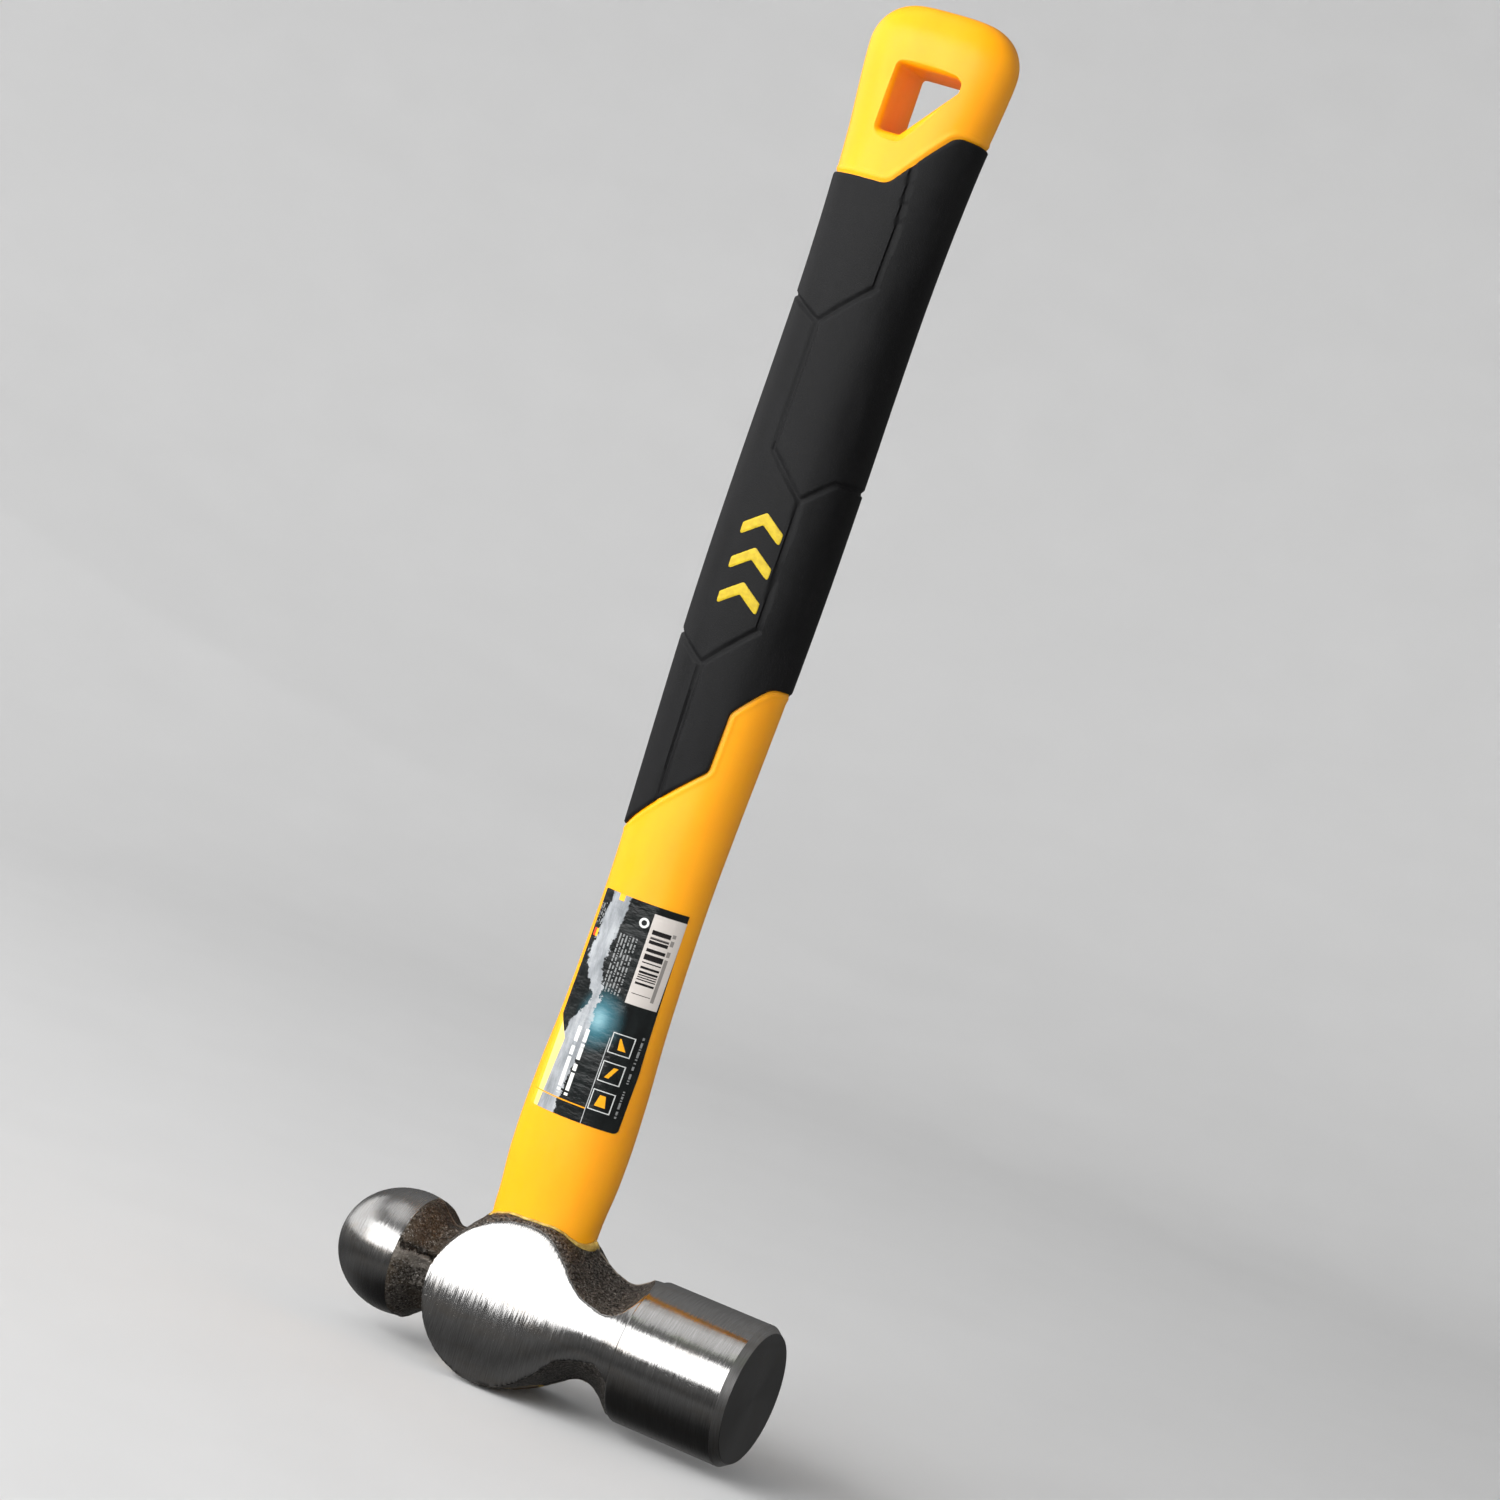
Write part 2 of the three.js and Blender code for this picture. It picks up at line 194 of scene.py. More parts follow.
def cut(piece, cutter):
    return combine(piece, cutter, "DIFFERENCE")


def smooth(piece, sharp_degrees):
    piece.data.shade_smooth()
    piece.data.set_sharp_from_angle(angle=math.radians(sharp_degrees))
    return piece


def coordinates(piece):
    flat = np.zeros(len(piece.data.vertices) * 3, np.float32)
    piece.data.vertices.foreach_get("co", flat)
    return flat.reshape(-1, 3) / MM


def store(piece, name, values):
    layer = piece.data.attributes.new(name, "FLOAT", "POINT")
    layer.data.foreach_set("value", np.asarray(values, np.float32))


# -------- formulas


def circle(count):
    return np.linspace(0, 2 * math.pi, count, endpoint=False)


def portion(low, high, value):
    return np.clip((value - low) / (high - low), 0, 1)


def ramp(low, high, value):
    share = portion(low, high, value)
    return share * share * (3 - 2 * share)


def smooth_max(a, b, blend):
    share = np.clip(0.5 + (a - b) / (2 * blend), 0, 1)
    return b + (a - b) * share + blend * share * (1 - share)


def smooth_min(a, b, blend):
    return -smooth_max(-a, -b, blend)


def through(table, heights):
    """A smooth curve through each column of a table whose first column is the height."""
    table = np.asarray(table, float)
    knots = table[:, 0]
    heights = np.asarray(heights, float)
    upper = np.clip(np.searchsorted(knots, heights), 1, len(knots) - 1)
    lower = upper - 1
    step = knots[upper] - knots[lower]
    t = np.clip((heights - knots[lower]) / step, 0, 1)
    columns = []
    for k in range(1, table.shape[1]):
        value = table[:, k]
        slope = np.gradient(value, knots)
        columns.append(
            (2 * t**3 - 3 * t**2 + 1) * value[lower]
            + (t**3 - 2 * t**2 + t) * step * slope[lower]
            + (3 * t**2 - 2 * t**3) * value[upper]
            + (t**3 - t**2) * step * slope[upper]
        )
    return columns


def pairs(x, z):
    return np.stack([x.ravel(), z.ravel()], axis=1)


def square(left, right, low, high):
    return np.array([(left, low), (right, low), (right, high), (left, high)], float)


def rounded(outline, radius, steps=8):
    """The outline with every corner rounded, as points."""
    points = [np.array(p, float) for p in outline]
    radii = np.broadcast_to(radius, len(points))
    result = []
    befores, afters = points[-1:] + points[:-1], points[1:] + points[:1]
    for before, corner, after, radius in zip(befores, points, afters, radii):
        to_before = (before - corner) / np.linalg.norm(before - corner)
        to_after = (after - corner) / np.linalg.norm(after - corner)
        half = math.acos(np.clip(to_before @ to_after, -1, 1)) / 2
        room = 0.48 * min(np.linalg.norm(before - corner), np.linalg.norm(after - corner))
        reach = min(radius / math.tan(half), room)
        start, end = corner + to_before * reach, corner + to_after * reach
        for t in np.linspace(0, 1, steps):
            result.append((1 - t) ** 2 * start + 2 * t * (1 - t) * corner + t**2 * end)
    return np.array(result)


def distance_to(path, points, closed=False):
    """Distance of each (x, z) point from a path of straight stretches."""
    path = np.asarray(path, float)
    ends = np.roll(path, -1, axis=0) if closed else path[1:]
    starts = path if closed else path[:-1]
    nearest = np.full(len(points), np.inf)
    for a, b in zip(starts, ends):
        along = b - a
        share = np.clip((points - a) @ along / max(along @ along, 1e-12), 0, 1)
        off = np.linalg.norm(points - a - share[:, None] * along, axis=1)
        nearest = np.minimum(nearest, off)
    return nearest


def inside(outline, points):
    hit = np.zeros(len(points), bool)
    for (x0, z0), (x1, z1) in zip(outline, np.roll(outline, -1, axis=0)):
        if z0 == z1:
            continue
        spans = (z0 > points[:, 1]) != (z1 > points[:, 1])
        crossing = x0 + (points[:, 1] - z0) * (x1 - x0) / (z1 - z0)
        hit ^= spans & (points[:, 0] < crossing)
    return hit


def grown(outline, distance):
    """A convex outline, anticlockwise, moved outwards."""
    before, after = np.roll(outline, 1, axis=0), np.roll(outline, -1, axis=0)
    tangent = after - before
    tangent /= np.linalg.norm(tangent, axis=1)[:, None]
    return outline + distance * np.stack([tangent[:, 1], -tangent[:, 0]], axis=1)


def prism(name, outline, near, far, steps=2, flare=None):
    """A body through the handle's thickness; flare gives the outline's growth at each depth."""
    rows = []
    for y in np.linspace(far, near, steps):
        shape = outline if flare is None else grown(outline, flare(y))
        rows.append(np.stack([shape[:, 0], np.full(len(shape), y), shape[:, 1]], axis=1))
    return tube(name, rows)


# -------- head


def turned_reach(x, angle):
    """Distance of the ground cheeks and neck from the head's axis; the angle is 0 at a cheek."""
    side, rise = np.abs(np.cos(angle)), np.sin(angle)
    to_neck = ramp(CHEEK.end, NECK.x, x)
    to_poll = ramp(NECK.x, POLL.back, x)
    waist = CHEEK.half_width + (NECK.half_width - CHEEK.half_width) * to_neck
    half_width = waist + (POLL.radius - POLL.step - NECK.half_width) * to_poll
    curve = CHEEK.curve + (NECK.curve - CHEEK.curve) * to_neck
    centre = half_width - curve
    drop = CHEEK.drop * (1 - to_neck)
    along = side * centre - rise * drop
    return along + np.sqrt(along**2 + curve**2 - centre**2 - drop**2)


def boss_reach(x, side, rise):
    """Distance of the boss's drafted rim from the head's axis, where a r^2 + 2 b r + c = 0."""
    a = rise**2 - (BOSS.draft * side) ** 2
    b = BOSS.draft * side * BOSS.radius
    c = (x - BOSS.x) ** 2 - BOSS.radius**2
    root = np.sqrt(np.maximum(b**2 - a * c, 0))
    straight = np.abs(a) < 1e-6
    exact = np.where(straight, -c / np.maximum(2 * b, 1e-6), (root - b) / np.where(straight, 1, a))
    return np.where(c >= 0, 0, exact)


def body_reach(x, angle):
    """The round boss, and from its middle a waisted neck that runs out to the poll."""
    side, rise = np.abs(np.cos(angle)), np.sin(angle)
    round_part = boss_reach(x, side, np.abs(rise)) + BOSS.z * rise * ramp(-22, -14, x)
    up, up_draft, down, down_draft = through(FORGING, x)
    above, below = up / (rise + up_draft * side), down / (down_draft * side - rise)
    return np.where(x < BOSS.x, round_part, np.where(rise > 0, above, below))


def ball_neck_reach(x, angle):
    flat = 2 * math.pi / BALL_NECK.sides
    off_middle = np.abs((angle + 40 * flat) % flat - flat / 2)
    octagon = BALL_NECK.radius / np.cos(flat / 2 - off_middle) - ledge(angle)
    share = portion(BALL_NECK.x, BALL.rim, x)
    onset = ramp(-BALL_NECK.start, 6 - BALL_NECK.start, -x)
    return onset * (octagon + (BALL.rim_radius - octagon) * np.sin(share * math.pi / 2) ** 1.6)


def ledge(angle):
    """A step and a groove that the dies left along each side of the ball's neck."""
    above_cheek = np.degrees(np.arcsin(np.clip(np.sin(angle), -1, 1))) - LEDGE.angle
    groove = LEDGE.depth * np.exp(-((above_cheek / LEDGE.half_angle) ** 2))
    step = ramp(-LEDGE.fade, -1.5, above_cheek) * ramp(1.0, -1.0, above_cheek)
    return groove - LEDGE.step * step


def skin_waves(x, angle):
    """The uneven skin of the forging, as many faint waves in all directions."""
    rng = np.random.default_rng(11)
    radius = BALL_NECK.radius
    place = np.stack([x, radius * np.cos(angle), radius * np.sin(angle)], axis=-1)
    total = np.zeros(np.shape(x))
    for _ in range(SKIN.waves):
        heading = rng.normal(size=3)
        heading *= 2 * math.pi / rng.uniform(SKIN.low, SKIN.high) / np.linalg.norm(heading)
        total += np.sin(place @ heading + rng.uniform(0, 2 * math.pi))
    return SKIN.height * total / math.sqrt(SKIN.waves / 2)


def forged_reach(x, angle):
    """Distance of the forged skin from the head's axis, with the parting line of the dies."""
    body = smooth_max(body_reach(x, angle), ball_neck_reach(x, angle), FORGING_FILLET)
    off_parting = body * np.cos(angle) / FLASH.half_width
    return body + FLASH.height * np.exp(-(off_parting**2)) + skin_waves(x, angle)


def rimmed(x, angle):
    """The forging as it is left beside the mouth of the eye, rounded over above each cheek."""
    before_neck = ramp(-MOUTH_RIM.end, -MOUTH_RIM.start, -x)
    share = ramp(0, 0.5, np.sin(angle)) * ramp(-26, -18, x) * before_neck
    stock = turned_reach(x, angle) + MOUTH_RIM.stock
    blend = np.maximum(MOUTH_RIM.blend * share, 0.01)
    return smooth_min(forged_reach(x, angle), stock, blend)


def head_reach(x, angle):
    middle = smooth_min(rimmed(x, angle), turned_reach(x, angle), EDGE_ROUND)
    ball_share = portion(BALL.widest, BALL.apex, x)
    barrel = portion(BALL.widest, BALL.rim, x)
    ball = BALL.radius * np.sqrt(1 - ball_share**2)
    ball = ball + (BALL.rim_radius - BALL.radius) * barrel**2
    into_chamfer = np.clip((x - POLL.face + POLL.chamfer) / POLL.chamfer, 0, 1)
    off_back = np.clip(1 - (x - POLL.back) / POLL.back_round, 0, 1)
    poll = POLL.radius + (POLL.face_radius - POLL.radius) * into_chamfer
    poll = poll - POLL.back_drop * off_back**2
    return np.where(x <= BALL.rim, ball, np.where(x >= POLL.back, poll, middle))


def head_stations():
    turn = np.linspace(0.02, math.pi / 2, 44)
    dome = BALL.widest - (BALL.widest - BALL.apex) * np.cos(turn)
    barrel = np.linspace(BALL.widest, BALL.rim, 8)[1:]
    body = np.linspace(BALL.rim + 0.05, POLL.back - 0.02, 176)
    edge = POLL.back + np.array([0, 0.08, 0.2, 0.35, 0.5])
    poll = np.linspace(POLL.back + 2, POLL.face - POLL.chamfer - 0.3, 12)
    chamfer = POLL.face - POLL.chamfer * np.array([1, 0.9, 0.5, 0.1, 0])
    return np.concatenate([dome, barrel, body, edge, poll, chamfer])


def head_blank(name, stations, around):
    """The head before its eye is cut, with the flat of its crown."""
    x, angle = np.meshgrid(stations, circle(around), indexing="ij")
    reach = head_reach(x, angle)
    rows = np.stack([x, reach * np.cos(angle), HEAD_AXIS_Z + reach * np.sin(angle)], axis=-1)
    axis_point = np.array([0, 0, HEAD_AXIS_Z])
    face = rows[-1] - axis_point
    rings = [face * [1, share, share] + axis_point for share in (0.985, 0.6, 0.25)]
    blank = tube(name, np.concatenate([rows, np.array(rings)]))
    return cut(blank, prism("under", square(-60, 80, -10, 0), -40, 40))


def build_head():
    """The head, with the depth of forging that is left on its ground places as an attribute."""
    head = head_blank("hammer_head_forging", head_stations(), 300)
    cut(head, loft("eye", EYE, 120))
    smooth(head, 32)
    points = coordinates(head)
    x, height = points[:, 0], points[:, 2] - HEAD_AXIS_Z
    around = np.arctan2(height, points[:, 1])
    machined = (x >= POLL.back - 0.05) | (x <= BALL.rim + 0.03)
    store(head, "ground", np.where(machined, 2.0, rimmed(x, around) - turned_reach(x, around)))
    return head


def below_crown():
    """What lies below the crown, to which everything in the eye is dressed."""
    body = prism("below_crown", square(-22, 22, -10, 14), -16, 16)
    return cut(body, head_blank("blank", np.linspace(-30, 34, 120), 200))


# -------- handle


def section(half_length, half_width, squareness, angle):
    power = 2 / squareness
    cos, sin = np.cos(angle), np.sin(angle)
    x = half_length * np.sign(cos) * np.abs(cos) ** power
    y = half_width * np.sign(sin) * np.abs(sin) ** power
    return x, y


def loft(name, table, around, grow=0.0, heights=None):
    """A body through a table of sections; grow may be a function of x, z that moves its surface."""
    heights = np.linspace(table[0][0], table[-1][0], 60) if heights is None else heights
    sizes = through([(*row, 2)[:4] for row in table], heights)
    angle = circle(around)
    a, b, n = (column[:, None] for column in sizes)
    x, _ = section(a, b, n, angle[None])
    z = np.broadcast_to(heights[:, None], x.shape)
    out = grow(x, z) if callable(grow) else grow
    x, y = section(a + out, b + out, n, angle[None])
    return tube(name, np.stack([x, y, z], axis=-1))


def butt_table():
    """Sections that turn the jacket's straight sides over into the rounded end of the butt."""
    _, a, b, n = JACKET[-1]
    rows = []
    for turn in np.linspace(0, math.pi / 2, 17)[1:]:
        inset = 1 - math.cos(turn)
        half_length = a + BUTT.swell * math.sin(2 * turn) - BUTT.side_round * inset
        z = BUTT.start + (jacket_top - BUTT.start) * math.sin(turn)
        rows.append((z, half_length, b - BUTT.edge_round * inset, n))
    return rows


def fine_heights(table_top, fine_ranges, fine=0.5, coarse=1.6):
    heights, z = [], 0.0
    while z < table_top:
        heights.append(z)
        z += fine if any(low < z < high for low, high in fine_ranges) else coarse
    return np.array(heights)


grip_corners = [GRIP.low_corner] * len(GRIP_LOWER) + [GRIP.high_corner] * len(GRIP_UPPER)
grip_outline = rounded(GRIP_LOWER + GRIP_UPPER, grip_corners)


def grip_depth(x, z):
    """Signed distance into the grip's outline, positive inside."""
    points = pairs(x, z)
    distance = distance_to(grip_outline, points, closed=True)
    return np.where(inside(grip_outline, points), distance, -distance).reshape(x.shape)


def jacket_growth(x, z):
    """A notch and a low ridge run round the jacket beside each end of the grip."""
    outside = -grip_depth(x, z)
    rise = RIDGE.height * np.exp(-(((outside - RIDGE.at) / (RIDGE.width / 2)) ** 2))
    edge = RIDGE.notch * np.exp(-((outside / RIDGE.notch) ** 2))
    return np.where(outside > -0.5, rise - edge, 0)


def grip_growth(x, z):
    """The grip stands proud, is rounded at its ends and falls away in its channels."""
    points = pairs(x, z)
    groove = np.min([distance_to(path, points) for path in CHANNELS], axis=0).reshape(x.shape)
    wall = ramp(CHANNEL.floor, CHANNEL.floor + CHANNEL.shoulder, groove)
    edge = np.clip(1 - grip_depth(x, z) / GRIP.edge_round, 0, 1)
    return GRIP.proud - CHANNEL.depth * (1 - wall) - GRIP.edge_round * edge**2


def grip_range():
    return GRIP_LOWER[0][1] - 3, GRIP_UPPER[0][1] + 3


def jacket_slice(name, low, high, around, grow, step=0.5):
    return loft(name, JACKET, around, grow, np.arange(low, high, step))


def inside_grip(name, gap):
    low, high = grip_range()
    depth = GRIP.proud - GRIP.thickness + gap
    return jacket_slice(name, low - 4, high + 4, 90, depth, 2.0)


def emblem_base(index):
    return EMBLEM.base + index * EMBLEM.pitch


def chevron(index, grow):
    base = emblem_base(index)
    w, bar, rise = EMBLEM.half_width, EMBLEM.bar, EMBLEM.rise
    lower = [(-w, base), (0, base + rise), (w, base)]
    upper = [(x, z + bar) for x, z in reversed(lower)]
    return grown(rounded(lower + upper, 0.7, 6), grow)


def hole_flare(y):
    """Growth of the hanging hole at each depth, which rounds its rim on both sides."""
    past = max(0.0, abs(y) - HOLE_FILLET.surface + HOLE_FILLET.deep)
    share = min(1.0, past / HOLE_FILLET.deep)
    return HOLE_FILLET.across * (1 - math.sqrt(1 - share**2.2))


def build_jacket():
    low, high = grip_range()
    grip_ends = [(low, GRIP_LOWER[-1][1] + 4), (GRIP_UPPER[-1][1] - 3, high + 2)]
    heights = fine_heights(BUTT.start, grip_ends)
    butt = butt_table()
    heights = np.concatenate([heights, [row[0] for row in butt]])
    jacket = loft("jacket_moulding", JACKET + butt, 220, jacket_growth, heights)
    recess = prism("recess", grip_outline, -30, 30)
    cut(recess, inside_grip("floor", 0))
    cut(jacket, recess)
    hole = prism("hole", rounded(HOLE, HOLE_CORNER, 7), -13, 13, 61, hole_flare)
    cut(jacket, hole)
    bore = core_body("bore", core_radius + CLEARANCE, core_top + 2 * CLEARANCE)
    cut(jacket, bore)
    cut(jacket, below_crown())
    return smooth(jacket, 40)


def core_body(name, radius, top, edge=0.3, drop=0.12):
    angle = circle(72)
    heights = [0.0, edge, top / 2, top - edge, top]
    radii = [radius - drop, radius, radius, radius, radius - drop]
    cos, sin, level = np.cos(angle), np.sin(angle), np.ones(len(angle))
    rows = [np.stack([r * cos, r * sin, z * level], axis=1) for z, r in zip(heights, radii)]
    return tube(name, rows)


def build_grip():
    low, high = grip_range()
    sleeve = jacket_slice("grip_moulding", low, high, 200, grip_growth)
    combine(sleeve, prism("ends", grown(grip_outline, -0.06), -30, 30), "INTERSECT")
    cut(sleeve, inside_grip("hollow", CLEARANCE))
    for index in range(EMBLEM.count):
        cut(sleeve, pocket(index))
    return smooth(sleeve, 40)


def emblem_bed(index, sink):
    base = emblem_base(index)
    return jacket_slice("bed", base - 10, base + 20, 90, GRIP.proud - sink, 2.0)


def pocket(index):
    body = prism("pocket", chevron(index, CLEARANCE), -30, 0)
    bed = emblem_bed(index, INLAY.sink + CLEARANCE)
    return cut(body, bed)


def build_emblem(index):
    outline = chevron(index, 0)

    def top(x, z):
        distance = distance_to(outline, pairs(x, z), closed=True)
        edge = np.clip(1 - distance / INLAY.edge_width, 0, 1).reshape(x.shape)
        return GRIP.proud + INLAY.proud - INLAY.edge_drop * edge**2

    base = emblem_base(index)
    end = base + EMBLEM.bar + EMBLEM.rise
    body = jacket_slice(f"emblem_{index + 1}", base - 2, end + 2, 400, top, 0.25)
    combine(body, prism("outline", outline, -30, 0), "INTERSECT")
    return smooth(cut(body, emblem_bed(index, INLAY.sink)), 50)


def build_core():
    return smooth(core_body("glass_fibre_rod", core_radius, core_top), 40)


def build_resin():
    body = loft("bonding_resin", EYE, 120, -RESIN_GAP)
    above = prism("above", square(-30, 30, seal_base - 0.1, 70), -30, 30)
    cut(body, above)
    cut(body, below_crown())
    tang = loft("tang", JACKET[:5], 120, RESIN_GAP, np.linspace(0, 50, 60))
    tang.data.transform(Matrix.Translation((0, 0, -0.2 * MM)))
    cut(body, tang)
    return smooth(body, 40)


def boss_top(x, y, guess=22.0, rounds=14):
    """Height of the boss's upper surface over points, closed in on round by round."""
    height = np.full(np.shape(x), guess)
    for _ in range(rounds):
        angle = np.arctan2(height, y)
        height = head_reach(x, angle) * np.sin(angle)
    return HEAD_AXIS_Z + height


def build_seal():
    """The bead of resin that was pressed out round the jacket at the mouth of the eye."""
    angle = circle(240)
    rng = np.random.default_rng(4)
    waves = 0
    for k in range(2, 9):
        waves = waves + rng.normal(0, 0.5 / k) * np.cos(k * angle + rng.uniform(0, 6.28))
    off_corner = np.minimum(angle, 2 * math.pi - angle)
    corner = np.exp(-((off_corner / SEAL_CORNER.angle) ** 2))
    size = SEAL.radius + SEAL.uneven * waves + SEAL_CORNER.extra * corner
    a, b = SEAL.half_length, SEAL.half_width
    along, aside = section(a, b, 2.0, angle)
    turn = circle(14)
    rows = []
    for theta, r, px, py, top in zip(angle, size, along, aside, boss_top(along, aside)):
        outward = np.array([math.cos(theta) / a, math.sin(theta) / b])
        outward /= np.linalg.norm(outward)
        across, up = r * np.cos(turn), r * SEAL.tall * np.sin(turn)
        x, y = px + across * outward[0], py + across * outward[1]
        rows.append(np.stack([x, y, top - SEAL.sunk + up], axis=1))
    bead = ring_tube("mouth_seal_bead", np.array(rows)[:, ::-1])
    return smooth(bead, 60)


def label_angles():
    """The section angles of the label's two side edges, on the cheek side."""
    a = max(through(JACKET, [LABEL.low, LABEL.high])[0])
    return -math.acos((LABEL.left - 1) / a), -math.acos((LABEL.right + 0.5) / a)


def build_label():
    low_angle, high_angle = label_angles()
    along, across = 90, 90
    heights = np.linspace(LABEL.low - 0.5, LABEL.high + 0.5, along)
    shares = np.linspace(0, 1, across)
    a, b, n = (column[:, None] for column in through(JACKET, heights))
    angle = low_angle + (high_angle - low_angle) * shares[None]
    z = np.broadcast_to(heights[:, None], (along, across))
    layers = []
    for lift in (LABEL_FILM.lift, LABEL_FILM.lift + LABEL_FILM.thickness):
        x, y = section(a + lift, b + lift, n, angle)
        layers.append(np.stack([x, y, z], axis=-1).reshape(-1, 3))
    index = np.arange(along * across).reshape(along, across)
    corners = [index[:-1, :-1], index[1:, :-1], index[1:, 1:], index[:-1, 1:]]
    lower = np.stack(corners, axis=-1).reshape(-1, 4)
    upper = lower[:, ::-1] + along * across
    rim = np.concatenate([index[0], index[1:, -1], index[-1, -2::-1], index[-2:0:-1, 0]])
    after = np.roll(rim, -1)
    sides = np.stack([rim, after, after + along * across, rim + along * across], axis=-1)
    faces = np.concatenate([lower, upper, sides]).tolist()
    label = make_object("printed_label", np.vstack(layers), faces)
    sheet = square(LABEL.left, LABEL.right, LABEL.low, LABEL.high)
    trim = prism("trim", rounded(sheet, LABEL.corner), -30, 0)
    return smooth(combine(label, trim, "INTERSECT"), 40)


# -------- materials


class Graph:
    """A material's nodes, written as expressions; lengths are millimetres of the part's frame."""

    def __init__(self, name):
        self.material = bpy.data.materials.new(name)
        self.material.use_nodes = True
        self.tree = self.material.node_tree
        self.shader = self.tree.nodes["Principled BSDF"]
        place = self.add("ShaderNodeTexCoord").outputs["Object"]
        self.place = self.vector("SCALE", place, scale=1 / MM)
        self.x, self.y, self.z = self.split(self.place)

    def add(self, kind, **settings):
        node = self.tree.nodes.new(kind)
        for name, value in settings.items():
            setattr(node, name, value)
        return node

    def put(self, socket, value):
        if isinstance(value, bpy.types.NodeSocket):
            self.tree.links.new(value, socket)
        else:
            socket.default_value = value

    def set(self, **values):
        for name, value in values.items():
            self.put(self.shader.inputs[name.replace("_", " ")], value)

    def math(self, operation, a, b=0.0):
        node = self.add("ShaderNodeMath", operation=operation)
        for socket, value in zip(node.inputs, (a, b)):
            self.put(socket, value)
        return node.outputs[0]

    def plus(self, a, b):
        return self.math("ADD", a, b)

    def minus(self, a, b):
        return self.math("SUBTRACT", a, b)

    def times(self, a, b):
        return self.math("MULTIPLY", a, b)

    def size(self, value):
        return self.math("ABSOLUTE", value)

    def cell(self, value, pitch):
        return self.math("FLOOR", self.math("DIVIDE", value, pitch))

    def vector(self, operation, a, b=(0, 0, 0), scale=1.0):
        node = self.add("ShaderNodeVectorMath", operation=operation)
        self.put(node.inputs[0], a)
        self.put(node.inputs[1], b)
        node.inputs[3].default_value = scale
        return node.outputs[0]

    def split(self, direction):
        node = self.add("ShaderNodeSeparateXYZ")
        self.put(node.inputs[0], direction)
        return node.outputs[0], node.outputs[1], node.outputs[2]

    def length(self, direction):
        node = self.add("ShaderNodeVectorMath", operation="LENGTH")
        self.put(node.inputs[0], direction)
        return node.outputs["Value"]

    def combine(self, x=0.0, y=0.0, z=0.0):
        node = self.add("ShaderNodeCombineXYZ")
        for socket, value in zip(node.inputs, (x, y, z)):
            self.put(socket, value)
        return node.outputs[0]

    def texture(self, kind, scale, place):
        """A texture of the part's frame; three scales stretch the frame first."""
        node = self.add(kind)
        if isinstance(scale, tuple):
            place, scale = self.vector("MULTIPLY", self.place, scale), 1.0
        self.put(node.inputs["Vector"], place or self.place)
        node.inputs["Scale"].default_value = scale
        return node

    def noise(self, scale, detail=2.0, rough=0.5, twist=0.0, place=None):
        node = self.texture("ShaderNodeTexNoise", scale, place)
        node.inputs["Detail"].default_value = detail
        node.inputs["Roughness"].default_value = rough
        node.inputs["Distortion"].default_value = twist
        return node.outputs[0]

    def cells(self, scale):
        return self.texture("ShaderNodeTexVoronoi", scale, None).outputs["Distance"]

    def fit(self, value, low, high, to_low=0.0, to_high=1.0, kind="SMOOTHSTEP"):
        node = self.add("ShaderNodeMapRange", interpolation_type=kind)
        for socket, number in zip(node.inputs, (value, low, high, to_low, to_high)):
            self.put(socket, number)
        return node.outputs[0]

    def even(self, value, low, high, to_low=0.0, to_high=1.0):
        return self.fit(value, low, high, to_low, to_high, "LINEAR")

    def mix(self, share, a, b, kind="RGBA"):
        first = {"FLOAT": 2, "VECTOR": 4, "RGBA": 6}[kind]
        node = self.add("ShaderNodeMix", data_type=kind)
        self.put(node.inputs["Factor"], share)
        self.put(node.inputs[first], a)
        self.put(node.inputs[first + 1], b)
        return node.outputs[first // 2 - 1]

    def paint(self, colour, *layers):
        """A colour with tones (0 to 255) laid over it, each by its mask and strength."""
        for mask, tone, strength in layers:
            share = mask if strength == 1 else self.times(mask, strength)
            colour = self.mix(share, colour, rgb(*tone))
        return colour

    def bump(self, height, distance, strength=1.0):
        node = self.add("ShaderNodeBump")
        self.put(node.inputs["Height"], height)
        node.inputs["Distance"].default_value = distance * MM
        node.inputs["Strength"].default_value = strength
        return node.outputs[0]

    def read(self, name):
        return self.add("ShaderNodeAttribute", attribute_name=name).outputs["Fac"]

    # masks, 1 inside and 0 outside

    def above(self, value, edge, soft=0.05):
        return self.fit(value, edge - soft, edge + soft)

    def between(self, value, low, high, soft=0.05):
        below = self.fit(value, high - soft, high + soft, 1, 0)
        return self.times(self.above(value, low, soft), below)

    def rectangle(self, field, soft=0.05):
        across = self.between(self.x, *field[:2], soft)
        return self.times(across, self.between(self.t, *field[2:], soft))

    def either(self, *masks):
        result = masks[0]
        for mask in masks[1:]:
            result = self.math("MAXIMUM", result, mask)
        return result

    def both(self, *masks):
        result = masks[0]
        for mask in masks[1:]:
            result = self.times(result, mask)
        return result


def rgb(red, green, blue):
    """A display colour, 0 to 255, as the linear colour that nodes work in."""

    def linear(value):
        value /= 255
        return value / 12.92 if value <= 0.04045 else ((value + 0.055) / 1.055) ** 2.4

    return linear(red), linear(green), linear(blue), 1.0


